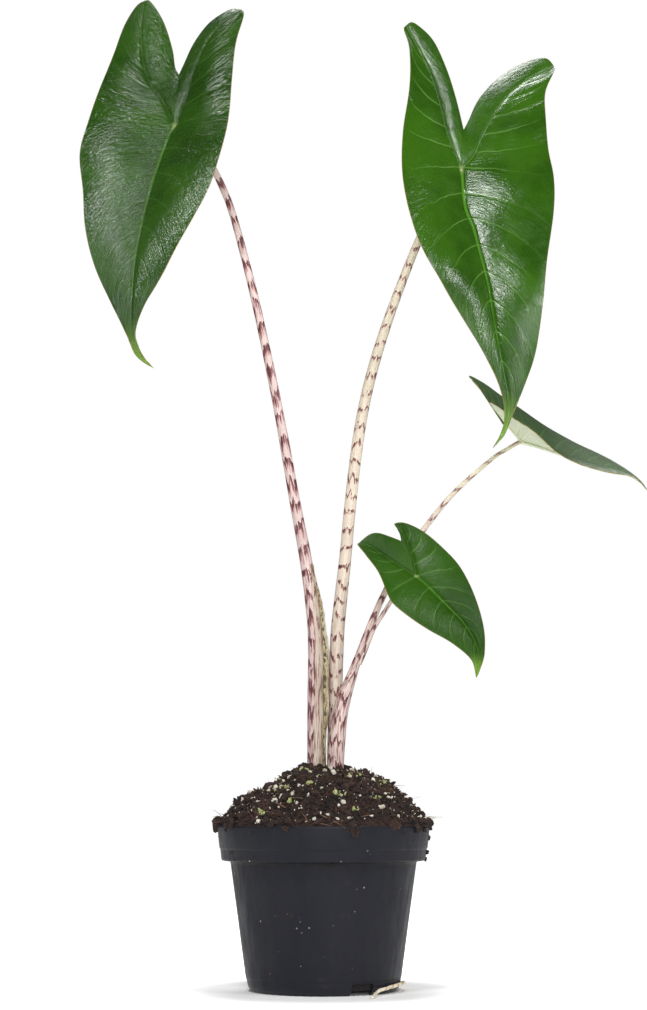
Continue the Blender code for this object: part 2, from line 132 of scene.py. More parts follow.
# Sheath wing in mm: height, centre x and y, radius, angles where it starts and ends, flare
SHEATH = [(120, -4.6, 0.6, 5.1, -100, -32, 1.2), (143, -4.7, 0.8, 5.1, -95, -25, 2.0),
          (160, -4.7, 1.0, 5.05, -90, -20, 3.0), (178, -4.7, 1.25, 5.0, -88, -20, 3.4),
          (197, -4.8, 1.55, 4.9, -85, -20, 3.0), (212, -6.2, 2.05, 4.6, -80, -20, 2.2),
          (227, -8.1, 2.9, 4.3, -70, -20, 1.2), (240, -9.9, 4.0, 4.0, -55, -20, 0.3)]

# Root: centre line and radius in mm
ROOT = [(19.1, 33.1, 1.35, 0.9), (21.6, 37.4, 1.3, 0.95), (24.2, 42.0, 1.3, 0.95), (29.5, 40.0, 1.3, 0.95),
        (36.0, 31.5, 1.4, 0.95), (41.5, 20.5, 2.2, 0.95), (44.3, 9.0, 3.4, 0.95), (44.9, -1.0, 4.6, 0.9),
        (43.6, -10.8, 4.8, 0.9), (39.8, -21.0, 4.4, 0.9), (34.8, -29.0, 3.6, 0.9), (30.4, -35.4, 2.8, 0.9),
        (28.0, -43.0, 1.8, 0.85), (27.0, -50.5, 1.3, 0.8), (26.3, -56.5, 1.1, 0.65)]

# Each leaf in its own plane in mm: x across, y along the midrib (the tip is at -y), from the
# stalk's joint. A third number is a height given outright. A ridge is (x, y, width,
# length, height).
LEAVES = {
    "left": dict(
        at=(-87.8, 8, 501.7), turn=-10, lean=15, fold=12, arch=9, lobe_back=-0.12, bulge=0.05, tone=0.12,
        veins=9, wave=0.8, matte=0.0, sinus_lift=(-1, -2), swell=1.6,
        ridges=[(-34, -20, 15, 21, 2.4), (-40, 62, 14, 16, -1.2)],
        mid=[(-3, -9), (-7, -30), (-10, -49), (-13, -74), (-15, -96), (-15.5, -118), (-15, -138),
             (-11.5, -149), (-1, -159)],
        rib_left=[(-10, 20), (-19, 33), (-25, 50), (-29, 75), (-29, 98)],
        rib_right=[(3, 14), (6, 28), (8, 43), (13, 61), (21, 75), (33, 86)],
        upper_left=[(-34, 93), (-39, 79), (-43, 56), (-47, 27), (-50, -3)],
        lower_left=[(-52, -26), (-48, -50), (-44, -76), (-37, -100), (-27, -121), (-17, -140),
                    (-12, -151), (-6, -156.5)],
        upper_right=[(35, 80), (33, 60), (33, 30), (34, 2)],
        lower_right=[(33, -23), (28, -49), (20, -70), (12, -87), (3, -105), (-7, -121), (-12, -137),
                     (-10.5, -146), (-6.5, -153.5)],
        sinus_left=[(-25, 97), (-16, 82), (-9, 62), (-6, 48)],
        sinus_right=[(27, 90), (19, 88.5), (10.5, 81.5), (3.5, 65), (-1, 49)], notch=(-3, 42)),
    "right": dict(
        at=(81.2, 6, 475.1), turn=12, lean=15, fold=12, arch=9, lobe_back=-0.12, bulge=0.05, tone=0.75,
        veins=10, wave=0.8, matte=0.05, sinus_lift=(1, -1.3), swell=1.0,
        ridges=[(-16, -78, 12, 20, 2.2), (30, -95, 16, 22, 1.6)],
        mid=[(-1, -28), (2, -42), (4, -58), (7, -80), (9, -106), (12, -131), (14.5, -150), (13.5, -162),
             (10.5, -171.5), (4, -180)],
        rib_left=[(-3, 13), (-6, 28), (-8, 48), (-12, 72), (-23, 106)],
        rib_right=[(8, 9), (17, 27), (30, 50), (46, 68), (69, 84)],
        upper_left=[(-25, 102), (-23, 86), (-27, 55), (-35, 20), (-39, -9)],
        lower_left=[(-38, -35), (-32, -64), (-22, -88), (-9, -108), (2, -129), (10, -146), (11.5, -162),
                    (8.5, -172), (5.5, -177.5)],
        upper_right=[(67, 77), (59, 60), (55, 40), (53, 14), (52, -10)],
        lower_right=[(49, -33), (42, -66), (36, -97), (31, -124), (24, -143), (16, -161), (12, -171),
                     (7.5, -176.5)],
        sinus_left=[(-18, 108), (-8, 95), (-2, 74), (2, 48)],
        sinus_right=[(64, 91), (50, 88), (34, 76), (19, 57), (10, 39)], notch=(5, 29)),
    "small": dict(
        at=(52.1, -22, 231.1), turn=8, lean=15, fold=10, arch=3, lobe_back=-0.10, bulge=0.05, tone=0.38,
        veins=7, wave=0.3, matte=0.6, sinus_lift=(0, 0), swell=0.5, ridges=[],
        mid=[(6, -6), (11, -12), (17, -19), (24, -27), (29, -35), (32, -43), (33, -51), (31, -60)],
        rib_left=[(-8, 6), (-17, 13), (-25, 19), (-31, 21)],
        rib_right=[(-1, 9), (-3, 17), (-5, 25), (-10, 33)],
        upper_left=[(-32, 19), (-28, 12), (-22, 1), (-18, -14)],
        lower_left=[(-15, -20), (-7, -27), (5, -35), (18, -42), (28, -50)],
        upper_right=[(-4, 33), (6, 27), (16, 17), (25, 4)],
        lower_right=[(32, -14), (36, -31), (36, -46), (33, -56)],
        sinus_left=[(-25, 26), (-20, 27), (-14, 25)],
        sinus_right=[(-9, 30), (-7.5, 26)], notch=(-7, 22)),
    "side": dict(
        at=(118.3, 42, 318.6), axes=((-0.23, 0.97, 0.0), (-0.92, -0.22, 0.32)), bulge=0.06, tone=0.5,
        veins=8, wave=0.2, matte=0.9, sinus_lift=(0, 0), swell=0.2, ridges=[],
        mid=[(0, -12, 1), (0, -25, 1.5), (0, -41, 2.5), (0, -57, 4), (0, -71, 4), (0, -79, 2.5),
             (0, -84, -1)],
        rib_left=[(-6, 11, 3.5), (-12, 21, 7), (-17, 30, 10)],
        rib_right=[(6, 12, 9), (13, 25, 21), (21, 38, 31)],
        upper_left=[(-22, 26, 8), (-26, 16, 4), (-27, 1, 0)],
        lower_left=[(-25, -14, -5), (-20, -30, -6), (-14, -47, -4), (-6.5, -64, 1), (-3, -73, 3)],
        upper_right=[(25, 31, 32), (28, 14, 29), (29, 0, 26)],
        lower_right=[(28.5, -19, 21), (26, -37, 18), (21, -54, 15), (12, -70, 10), (4, -79, 4)],
        sinus_left=[(-12, 21, 8), (-5, 15, 5)],
        sinus_right=[(15, 33, 26), (8, 25, 17)], notch=(0, 14, 5)),
}


# Shader maths

def math_node(kind, turned=False):
    """An operator that adds a Math node. Turned, the value comes after the other number."""
    def operator(self, *others):
        terms = (*others, self) if turned else (self, *others)
        return self.shader.node("ShaderNodeMath", {"operation": kind}, dict(enumerate(terms)))
    return operator


class Value:
    """A shader socket in a sum: the operators add the nodes."""

    def __init__(self, shader, socket):
        self.shader, self.socket = shader, socket

    __add__ = __radd__ = math_node("ADD")
    __mul__ = __rmul__ = math_node("MULTIPLY")
    __sub__, __rsub__ = math_node("SUBTRACT"), math_node("SUBTRACT", turned=True)
    __truediv__, __pow__ = math_node("DIVIDE"), math_node("POWER")
    __abs__, fract, most = math_node("ABSOLUTE"), math_node("FRACT"), math_node("MAXIMUM")

    def fade(self, low, high, at_low=0.0, at_high=1.0):
        """A smooth step from at_low to at_high as the value goes from low to high."""
        return self.shader.node("ShaderNodeMapRange", {"interpolation_type": "SMOOTHSTEP"},
                                {0: self, 1: low, 2: high, 3: at_low, 4: at_high})


class Nodes:
    """The nodes of a material or a world, all made by one method."""

    def __init__(self, owner):
        owner.use_nodes = True
        self.tree = owner.node_tree

    def fill(self, socket, value):
        if isinstance(value, Value):
            self.tree.links.new(value.socket, socket)
        else:
            socket.default_value = (*value[:3], 1.0) if socket.type == "RGBA" else value

    def node(self, kind, settings=None, inputs=None, out=0):
        made = self.tree.nodes.new(kind)
        for key, value in (settings or {}).items():
            setattr(made, key, value)
        for key, value in (inputs or {}).items():
            self.fill(made.inputs[key], value)
        return Value(self, made.outputs[out]) if made.outputs else None


class Shader(Nodes):
    """A Principled material under construction."""

    def __init__(self, name, roughness=0.5):
        self.mat = bpy.data.materials.new(name)
        super().__init__(self.mat)
        self.surface = self.tree.nodes["Principled BSDF"]
        self.set(Roughness=roughness)

    def set(self, **sockets):
        for key, value in sockets.items():
            self.fill(self.surface.inputs[key.replace("_", " ")], value)
        return self.mat

    def attribute(self, name, out=2):
        return self.node("ShaderNodeAttribute", {"attribute_name": name}, out=out)

    def place(self):
        return self.node("ShaderNodeTexCoord", out="Object")

    def noise(self, vector, scale, detail, rough, twist=0.0):
        return self.node("ShaderNodeTexNoise", {}, {"Vector": vector, "Scale": scale, "Detail": detail,
                                                    "Roughness": rough, "Distortion": twist})

    def grain(self, vector, across, upward, detail, rough, twist=0.0):
        """Noise that is fine across and drawn out upwards."""
        drawn = self.node("ShaderNodeVectorMath", {"operation": "MULTIPLY"},
                          {0: vector, 1: (across, across, upward)})
        return self.noise(drawn, 1.0, detail, rough, twist)

    def cells(self, vector, scale, feature="F1"):
        return self.node("ShaderNodeTexVoronoi", {"feature": feature}, {"Vector": vector, "Scale": scale})

    def mix(self, factor, a, b, blend="MIX"):
        return self.node("ShaderNodeMix", {"data_type": "RGBA", "blend_type": blend},
                         {0: factor, 6: a, 7: b}, out=2)

    def coats(self, base, *coats):
        """A colour with coats over it, each given as how much of it covers and its colour."""
        for cover, paint in coats:
            base = self.mix(cover, base, paint)
        return base

    def vector(self, x, y, z):
        return self.node("ShaderNodeCombineXYZ", {}, {0: x, 1: y, 2: z})

    def parts(self, vector):
        split = self.node("ShaderNodeSeparateXYZ", {}, {0: vector}).socket.node
        return [Value(self, output) for output in split.outputs]

    def bump(self, height, distance, strength):
        return self.node("ShaderNodeBump", {}, {"Strength": strength, "Distance": distance, "Height": height})


def mottled(name, roughness, scale, spread, dark, light, detail=4, bump=None):
    """Two colours mixed by fine noise, which also gives the bump's (distance, strength)."""
    sh = Shader(name, roughness)
    tone = sh.noise(sh.place(), scale, detail, 0.6)
    if bump:
        sh.set(Normal=sh.bump(tone, *bump))
    return sh.set(Base_Color=sh.mix(tone.fade(*spread) if spread else tone, dark, light))


# Properties

def colour(name, text, value):
    return FloatVectorProperty(name=name, description=text, subtype="COLOR", size=3, min=0, max=1,
                               default=value)


def number(name, text, value, **limits):
    return FloatProperty(name=name, description=text, default=value, **limits)


def count(name, text, value, least=0):
    return IntProperty(name=name, description=text, default=value, min=least)


class PlantLeafSettings(bpy.types.PropertyGroup):
    deep_green: colour("Deep green", "Upper face of the darkest leaf", (0.0115, 0.045, 0.002))
    fresh_green: colour("Fresh green", "Upper face of the freshest leaf", (0.021, 0.082, 0.0015))
    vein: colour("Veins", "Pale lines on the upper face", (0.13, 0.27, 0.06))
    midrib: colour("Midrib", "Main rib on the upper face", (0.065, 0.20, 0.015))
    underside: colour("Underside", "Lower face of every leaf", (0.62, 0.66, 0.50))
    edge: colour("Edge", "Thin rim of each blade", (0.17, 0.12, 0.03))
    drip_tip: colour("Drip tip", "Pointed end of each blade", (0.15, 0.29, 0.035))
    gloss: number("Roughness", "Roughness of the upper face", 0.17, min=0.05, max=1)
    thickness: number("Thickness", "Thickness of a blade", 0.00045, min=0.0001, unit="LENGTH")
    rows: count("Rows", "Mesh rows along each half of a blade", 84, 12)
    columns: count("Columns", "Mesh columns across each half", 22, 6)


class PlantStalkSettings(bpy.types.PropertyGroup):
    cream: colour("Cream", "Ground colour of the right stalk", (0.58, 0.50, 0.40))
    pink: colour("Pink", "Ground colour of the left stalk", (0.54, 0.41, 0.39))
    green: colour("Green", "Upper end of the thin stalks", (0.50, 0.52, 0.30))
    band: colour("Bands", "Broken bands round the stalks", (0.062, 0.009, 0.012))
    sheath: colour("Sheath", "Wing along the left stalk", (0.40, 0.38, 0.13))
    root: colour("Root", "Root at the foot of the pot", (0.74, 0.68, 0.54))
    sides: count("Sides", "Faces round each stalk", 28, 8)


class PlantPotSettings(bpy.types.PropertyGroup):
    plastic: colour("Plastic", "Colour of the pot", (0.0085, 0.0092, 0.0142))
    roughness: number("Roughness", "Roughness of the pot", 0.42, min=0, max=1)
    segments: count("Segments", "Faces round the pot", 112, 24)


class PlantSoilSettings(bpy.types.PropertyGroup):
    peat: colour("Peat", "Dark part of the mix", (0.009, 0.006, 0.005))
    bark: colour("Bark", "Brown part of the mix", (0.042, 0.018, 0.011))
    perlite: colour("Perlite", "White grains", (0.66, 0.62, 0.54))
    moss: colour("Moss", "Green bits", (0.26, 0.30, 0.10))
    crumbs: count("Fine crumbs", "Number of fine crumbs", 8000)
    chunks: count("Chunks", "Number of larger crumbs", 900)
    strays: count("Strays", "Number of crumbs stuck to the pot's side", 90)
    bark_bits: count("Bark bits", "Number of flat brown bits", 1500)
    grains: count("Perlite grains", "Number of white grains", 240)
    dust: count("Perlite dust", "Number of white specks", 700)
    tufts: count("Moss tufts", "Number of green tufts", 32)
    fibres: count("Fibres", "Number of fibres", 260)


class PlantStageSettings(bpy.types.PropertyGroup):
    distance: number("Camera distance", "From the pot's axis to the camera", 1.30, unit="LENGTH")
    height: number("Camera height", "Above the floor", 0.1081, unit="LENGTH")
    tilt: number("Camera tilt", "Upwards", math.radians(7.28), subtype="ANGLE")
    lens: number("Lens", "Focal length in millimetres", 81.18)
    key: number("Key light", "Power of the softbox in front and above", 9.0)
    front: number("Front light", "Power of the large light behind the camera", 30.0)
    sides: number("Side lights", "Power of each side light", 2.3)
    back: number("Back light", "Power of the light above and behind", 12.0)
    sky: number("Surroundings", "Brightness of the room", 0.06)


# Modelling helpers

def deselect():
    if bpy.context.object and bpy.context.object.mode != "OBJECT":
        bpy.ops.object.mode_set(mode="OBJECT")
    bpy.ops.object.select_all(action="DESELECT")


def select_only(*objects):
    deselect()
    for item in objects:
        item.select_set(True)
    bpy.context.view_layer.objects.active = objects[0]


def finish(item, name, materials, slot, *nodes):
    """Name a piece, give it its materials and its place on the CAD model."""
    item.name = item.data.name = name
    select_only(item)
    bpy.ops.object.transform_apply(location=True, rotation=True, scale=True)
    for mat in materials:
        item.data.materials.append(mat)
    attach(item, "root")
    if nodes:
        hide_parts(*nodes)


def join(items):
    select_only(*items)
    bpy.ops.object.join()
    return bpy.context.object


def weld(item, distance=1e-6, outward=False):
    select_only(item)
    bpy.ops.object.mode_set(mode="EDIT")
    bpy.ops.mesh.select_all(action="SELECT")
    bpy.ops.mesh.remove_doubles(threshold=distance)
    if outward:
        bpy.ops.mesh.normals_make_consistent(inside=False)
    bpy.ops.object.mode_set(mode="OBJECT")


def close(item):
    """Fill a mesh's open ends and point its faces outwards."""
    bm = bmesh.new()
    bm.from_mesh(item.data)
    bmesh.ops.holes_fill(bm, edges=[e for e in bm.edges if e.is_boundary])
    bmesh.ops.recalc_face_normals(bm, faces=bm.faces)
    bm.to_mesh(item.data)
    bm.free()


def shade_smooth(item, angle):
    select_only(item)
    bpy.ops.object.shade_smooth_by_angle(angle=math.radians(angle))


def apply_all(item):
    select_only(item)
    for mod in list(item.modifiers):
        bpy.ops.object.modifier_apply(modifier=mod.name)


def lathe(profile, segments):
    """A circle added at the first point and extruded from point to point, as on a lathe."""
    deselect()
    radius, height = profile[0]
    bpy.ops.mesh.primitive_circle_add(vertices=segments, radius=radius * MM, location=(0, 0, height * MM))
    item = bpy.context.object
    bpy.ops.object.transform_apply(location=True)
    bpy.ops.object.mode_set(mode="EDIT")
    for new_radius, new_height in profile[1:]:
        bpy.ops.mesh.extrude_region_move(
            TRANSFORM_OT_translate={"value": (0, 0, (new_height - height) * MM)})
        if new_radius:
            bpy.ops.transform.resize(value=(new_radius / radius, new_radius / radius, 1),
                                     center_override=(0, 0, new_height * MM))
        else:
            bpy.ops.mesh.merge(type="CENTER")
        radius, height = new_radius, new_height
    bpy.ops.object.mode_set(mode="OBJECT")
    return item


def grid(columns, rows):
    """A flat grid and, for each of its vertices, its column and row."""
    deselect()
    bpy.ops.mesh.primitive_grid_add(x_subdivisions=columns, y_subdivisions=rows, size=1)
    item = bpy.context.object
    cells = [(round((v.co.x + 0.5) * columns), round((v.co.y + 0.5) * rows)) for v in item.data.vertices]
    return item, cells


def put(item, places, **attributes):
    """Move a mesh's vertices and store what the materials read."""
    item.data.vertices.foreach_set("co", np.asarray(places, float).ravel())
    for name, values in attributes.items():
        values = np.asarray(values, float)
        kind, key = ("FLOAT_VECTOR", "vector") if values.ndim == 2 else ("FLOAT", "value")
        item.data.attributes.new(name, kind, "POINT").data.foreach_set(key, values.ravel())
    item.data.update()


def loose_mesh(name, verts, faces):
    mesh = bpy.data.meshes.new(name)
    mesh.from_pydata(verts, [], faces)
    item = bpy.data.objects.new(name, mesh)
    bpy.context.scene.collection.objects.link(item)
    return item


def lengths(points):
    """How far along the line each of its points lies."""
    run = [0.0]
    for a, b in zip(points, points[1:]):
        run.append(run[-1] + (b - a).length)
    return run


def smooth_line(points, pieces, before=None, after=None):
    """pieces + 1 points along a smooth line. before and after are where it comes from and goes on to."""
    pts = [Vector(p) for p in points]
    pts = [before or 2 * pts[0] - pts[1]] + pts + [after or 2 * pts[-1] - pts[-2]]
    dense = []
    for i in range(1, len(pts) - 2):
        p0, p1, p2, p3 = pts[i - 1:i + 3]
        for k in range(LINE_STEPS):
            t = k / LINE_STEPS
            dense.append(0.5 * ((2 * p1) + (p2 - p0) * t + (2 * p0 - 5 * p1 + 4 * p2 - p3) * t * t
                                + (3 * p1 - p0 - 3 * p2 + p3) * t ** 3))
    dense.append(pts[-2])
    run = lengths(dense)
    out, j = [], 0
    for i in range(pieces + 1):
        want = run[-1] * i / pieces
        while j < len(run) - 2 and run[j + 1] < want:
            j += 1
        span = run[j + 1] - run[j] or 1.0
        out.append(dense[j].lerp(dense[j + 1], min(1.0, max(0.0, (want - run[j]) / span))))
    return out


def tube(points, sides, rows):
    """A stalk: a grid rolled up along a smooth line. Points are (x, y, z, radius) in mm."""
    line = smooth_line([p[:3] for p in points], rows)
    item, cells = grid(sides, rows)
    runs, knots = lengths(line), lengths([Vector(p[:3]) for p in points])
    wide = np.interp(np.array(runs) / runs[-1], np.array(knots) / knots[-1], [p[3] for p in points])
    side = Vector((1, 0, 0))
    frames = []
    for i, p in enumerate(line):
        ahead = (line[min(i + 1, rows)] - line[max(i - 1, 0)]).normalized()
        side = (side - ahead * side.dot(ahead)).normalized()
        frames.append((p, side, ahead.cross(side)))
    places, skin = [], []
    for column, row in cells:
        centre, x, y = frames[row]
        a = math.tau * (column % sides) / sides
        ridged = 1 + 0.02 * math.sin(5 * a + runs[row] * 0.02) + 0.012 * math.sin(9 * a)
        places.append((centre + (x * math.cos(a) + y * math.sin(a)) * (wide[row] * ridged)) * MM)
        skin.append((math.cos(a) * wide[row], math.sin(a) * wide[row], runs[row]))
    put(item, places, skin=skin)
    weld(item)
    close(item)
    shade_smooth(item, 50)
    return item


# Leaves

def leaf_frame(leaf):
    if "axes" in leaf:
        ex, ey = (Vector(v).normalized() for v in leaf["axes"])
    else:
        lean, turn = math.radians(leaf["lean"]), math.radians(leaf["turn"])
        spin = Matrix.Rotation(turn, 3, "Z")
        ex = spin @ Vector((1, 0, 0))
        ey = spin @ Vector((0, math.sin(lean), math.cos(lean)))
    en = ex.cross(ey).normalized()
    return Matrix((ex, en.cross(ex), en)).transposed()


def leaf_lines(leaf):
    """A leaf's ribs and edges in its own frame, heights included."""
    length = -leaf["mid"][-1][1]
    slope = math.tan(math.radians(leaf.get("fold", 0)))
    mid = [(0, 0)] + [p[:2] for p in leaf["mid"]]

    def spine(p):
        """A point of a rib: the midrib is arched and the lobes lean back."""
        if len(p) == 3:
            return Vector(p)
        if p[1] > 0:
            return Vector((*p, leaf["lobe_back"] * math.hypot(*p)))
        return Vector((*p, leaf["arch"] * math.sin(math.pi * min(1.0, -p[1] / length))))

    def across(y, rib):
        """Where a rib is at a height in the leaf's plane."""
        line = sorted(rib + [(0, 0)] if y > 0 else mid, key=lambda q: q[1])
        for a, b in zip(line, line[1:]):
            if a[1] <= y <= b[1]:
                return a[0] + (b[0] - a[0]) * (y - a[1]) / ((b[1] - a[1]) or 1.0)
        return line[0][0] if y < line[0][1] else line[-1][0]

    def edge(p, rib, lift=1):
        """A point of an edge, lifted by the fold as far as it lies from its rib."""
        if len(p) == 3 or not lift:
            return spine(p)
        middle = across(p[1], rib)
        return Vector((*p, spine((middle, p[1])).z + lift * (slope * abs(p[0] - middle))))

    sides = [(side, leaf["rib_" + side], lift) for side, lift in zip(("left", "right"), leaf["sinus_lift"])]
    notch = sum((edge(leaf["notch"], [p[:2] for p in rib], lift) for _, rib, lift in sides), Vector()) / 2
    lines = {"mid": [Vector()] + [spine(p) for p in leaf["mid"]]}
    for side, rib, lift in sides:
        flat = [p[:2] for p in rib]
        tip = spine(rib[-1])
        upper = [tip] + [edge(p, flat) for p in leaf["upper_" + side]]
        lower = [upper[-1]] + [edge(p, flat) for p in leaf["lower_" + side]] + [lines["mid"][-1]]
        sinus = [tip] + [edge(p, flat, lift) for p in leaf["sinus_" + side]] + [notch]
        lines["rib_" + side] = [tip] + [spine(p) for p in rib[-2::-1]] + [Vector()]
        lines.update({"upper_" + side: upper, "lower_" + side: lower, "sinus_" + side: sinus})
    return lines


def leaf_patch(leaf, turn, at, inner, outer, columns, kind, side):
    """One part of a blade between a rib and an edge, with its vein numbers stored."""
    rows = len(inner) - 1
    item, cells = grid(columns, rows)
    lower = kind == "lower"
    mirrored = (side == "left") != (kind == "inner")
    start = 0.3 if side == "left" else 0
    places, rib, edge, phase, along = [], [], [], [], []
    for column, row in cells:
        s = (column / columns) ** 1.15
        i = row if mirrored else rows - row
        width = (outer[i] - inner[i]).length
        t = i / rows if lower else 1 - i / rows
        p = inner[i].lerp(outer[i], s)
        puff = 4 * s * (1 - s)
        p.z += leaf["bulge"] * width * puff
        near = s * width
        ends = min(1.0, 4 * (1 - t) if lower else 3 * (1 - t) + 0.15)
        n = t * leaf["veins"] * (1 if lower else LOBE_VEINS)
        v = n - VEIN_SWEEP * s ** 1.25 * (1 - math.exp(-n / 3))
        if kind == "upper":
            v = -v
        elif kind == "inner":
            v = 0.5 + 2 * t + s
        if kind != "inner":
            quilt = 0.5 - 0.5 * math.cos(math.tau * v)
            p.z += leaf["wave"] * QUILTING * quilt * puff * ends * min(1.0, width / 20)
            p.z += leaf["wave"] * s * s * math.sin(math.tau * (v * EDGE_WAVES + start)) * ends
        p.z -= GROOVE_DEPTH * math.exp(-(near / GROOVE_WIDTH) ** 2) * ends
        for x, y, wide, long, high in leaf["ridges"]:
            p.z += high * math.exp(-((p.x - x) / wide) ** 2 - ((p.y - y) / long) ** 2) * min(1.0, near / 6)
        spot = Vector((p.x * 0.034 + leaf["veins"] * 3.1, p.y * 0.027, 5.0))
        p.z += leaf["swell"] * noise.noise(spot) * min(1.0, near / 12) * min(1.0, width / 15)
        places.append((at + turn @ p) * MM)
        rib.append(near)
        edge.append((1 - s) * width)
        phase.append(v)
        along.append(t if lower else -t)
    same = {"pitch": lengths(inner)[-1] / leaf["veins"], "tone": leaf["tone"], "matte": leaf["matte"],
            "inner": float(kind == "inner")}
    put(item, places, rib=rib, edge=edge, phase=phase, along=along,
        **{name: np.full(len(places), value) for name, value in same.items()})
    return item


def blade(leaf, rows, columns):
    lines = leaf_lines(leaf)
    turn, at = leaf_frame(leaf), Vector(leaf["at"])
    lobe_rows = rows // 2
    midrib = smooth_line(lines["mid"], rows)
    patches = []
    for side in ("left", "right"):
        rib = smooth_line(lines["rib_" + side], lobe_rows)
        upper, lower, sinus = (lines[key + side] for key in ("upper_", "lower_", "sinus_"))
        for kind, inner, outer, wide in (
                ("upper", rib, smooth_line(upper, lobe_rows, sinus[1], lower[1]), columns),
                ("inner", rib, smooth_line(sinus, lobe_rows, upper[1]), columns // 2),
                ("lower", midrib, smooth_line(lower, rows, upper[-2]), columns)):
            patches.append(leaf_patch(leaf, turn, at, inner, outer, wide, kind, side))
    item = join(patches)
    weld(item, 2e-5)
    bm = bmesh.new()
    bm.from_mesh(item.data)
    bmesh.ops.dissolve_degenerate(bm, edges=bm.edges, dist=1e-5)
    bmesh.ops.recalc_face_normals(bm, faces=bm.faces)
    facing = sum((f.normal * f.calc_area() for f in bm.faces), Vector())
    if facing.dot(turn @ Vector((0, 0, 1))) < 0:
        bmesh.ops.reverse_faces(bm, faces=bm.faces)
    bm.to_mesh(item.data)
    bm.free()
    return item, lines, turn, at


def under_ribs(leaf, lines, turn, at):
    """The three ribs that stand out under a blade, each thickest at the stalk."""
    size = max(0.35, min(1.0, -leaf["mid"][-1][1] / 170))
    back = turn @ Vector((0, 0, -1))
    ribs = []
    for name, first, last in RIB_RADII:
        line = smooth_line(lines[name] if name == "mid" else lines[name][::-1], 16)[:-1]
        points = []
        for i, p in enumerate(line):
            radius = (first + (last - first) * (i / (len(line) - 1)) ** 0.8) * size
            points.append((*(at + turn @ p + back * (radius * 0.95 + 0.75)), radius))
        ribs.append(tube(points, 10, 48))
    return join(ribs)


def leaf_material(settings, name, shine):
    sh = Shader(name)
    place = sh.place()
    rib, edge, phase, pitch, along, tone, inner, matte = map(
        sh.attribute, ("rib", "edge", "phase", "pitch", "along", "tone", "inner", "matte"))
    wander = sh.noise(place, 90, 2, 0.5)
    from_vein = abs((phase + (wander - 0.5) * 0.2 + 0.5).fract() - 0.5) * pitch
    taper = rib.fade(0.0, 34.0, 0.55, 0.2)
    vein = from_vein.fade(taper * 0.25, taper, 1.0, 0.0) * rib.fade(8.0, 40.0, 1.0, 0.15)
    vein = vein * edge.fade(0.0, 7.0) * (1 - inner)
    halo = from_vein.fade(0.0, 3.0, 1.0, 0.0) * rib.fade(0.0, 30.0, 0.5, 0.1) * (1 - inner)
    mid_width = abs(along).fade(0.0, 1.0, 1.25, 0.4)
    midrib = rib.fade(mid_width * 0.5, mid_width, 1.0, 0.0) * along.fade(0.15, 0.75, 1.0, 0.3)
    lobe_rib = rib.fade(0.2, 0.7, 1.0, 0.0) * along.fade(-0.03, 0.0, 1.0, 0.0)
    junction = rib.fade(0.0, 2.0, 1.0, 0.0) * abs(along).fade(0.0, 0.03, 1.0, 0.0)
    netted = sh.cells(place, 520, "DISTANCE_TO_EDGE")
    ripple = sh.noise(sh.vector(phase * pitch, rib * 0.3, inner * 7.0), 0.75, 4, 0.6, 0.4)
    patchy = sh.noise(place, 26, 3, 0.55)
    mottle = sh.noise(place, 160, 3, 0.6)
    pale = tone.fade(0.1, 0.8, 0.12, 0.52)
    dull = matte.fade(0.7, 0.85)
    # Painted sheen: a pale strip along the edge of the matte side leaf, towards its tip
    painted_sheen = edge.fade(2.0, 9.0, 1.0, 0.0) * along.fade(0.25, 0.5) * mottle.fade(0.3, 0.6, 0.4, 1.0)
    ground = sh.mix(tone, settings.deep_green, settings.fresh_green)
    darker = sh.mix(1.0, ground, (0.7, 0.72, 0.7), "MULTIPLY")
    lighter = sh.mix(1.0, ground, (1.4, 1.25, 1.4), "MULTIPLY")
    green = sh.coats(
        sh.mix(patchy.fade(0.35, 0.65), darker, lighter),
        (mottle.fade(0.3, 0.75) * 0.3, lighter),
        (halo * tone, lighter),
        (netted.fade(0.0, 0.09, 1.0, 0.0) * 0.06, settings.vein),
        (vein * pale, settings.vein),
        (midrib * tone.fade(0.1, 0.8, 0.35, 0.95) * along.fade(-0.02, 0.0), settings.midrib),
        (lobe_rib * pale * 0.8, settings.vein),
        (junction * 0.7, (0.30, 0.36, 0.14)),
        # Painted sheen: grey over the matte side leaf, more of it towards the tip, and paler in the edge
        # strip
        (dull * (along.fade(0.1, 0.5, 0.12, 0.3) + painted_sheen * 0.5), (0.30, 0.34, 0.28)),
        (along.fade(0.78, 0.97) * (1 - dull), settings.drip_tip),
        (edge.fade(0.12, 0.45, 0.7, 0.0), settings.edge))
    crumple = ripple * 2.0 + sh.noise(place, 260, 3, 0.55) + sh.noise(place, 800, 3, 0.6) * 0.3
    height = from_vein.fade(0.0, 2.2) * 0.45 * (1 - inner) + rib.fade(0.0, 2.0) * 0.6 \
        + crumple * tone.fade(0.1, 0.8, 1.0, 0.4) * (1 - matte * 0.8)
    gloss = mottle.fade(0.25, 0.8, settings.gloss - 0.04, settings.gloss + 0.08)
    return sh.set(Base_Color=green, Roughness=gloss + matte * 0.25 + inner * 0.10,
                  Specular_IOR_Level=shine, Normal=sh.bump(height, 0.0006, 0.6))


def underside_material(settings):
    sh = Shader("leaf_underside")
    place = sh.place()
    rib, phase, pitch = map(sh.attribute, ("rib", "phase", "pitch"))
    from_vein = abs((phase + 0.5).fract() - 0.5) * pitch
    vein = from_vein.fade(0.2, 0.8, 1.0, 0.0) * rib.fade(0.0, 40.0, 0.9, 0.3)
    pale = sh.coats(settings.underside, (sh.noise(place, 40, 3, 0.55) * 0.6, (0.42, 0.50, 0.30)),
                    (vein * 0.6, (0.66, 0.70, 0.50)))
    fine = sh.noise(place, 700, 3, 0.6)
    return sh.set(Base_Color=pale, Normal=sh.bump(vein * -0.8 + fine * 0.3, 0.0005, 0.5))


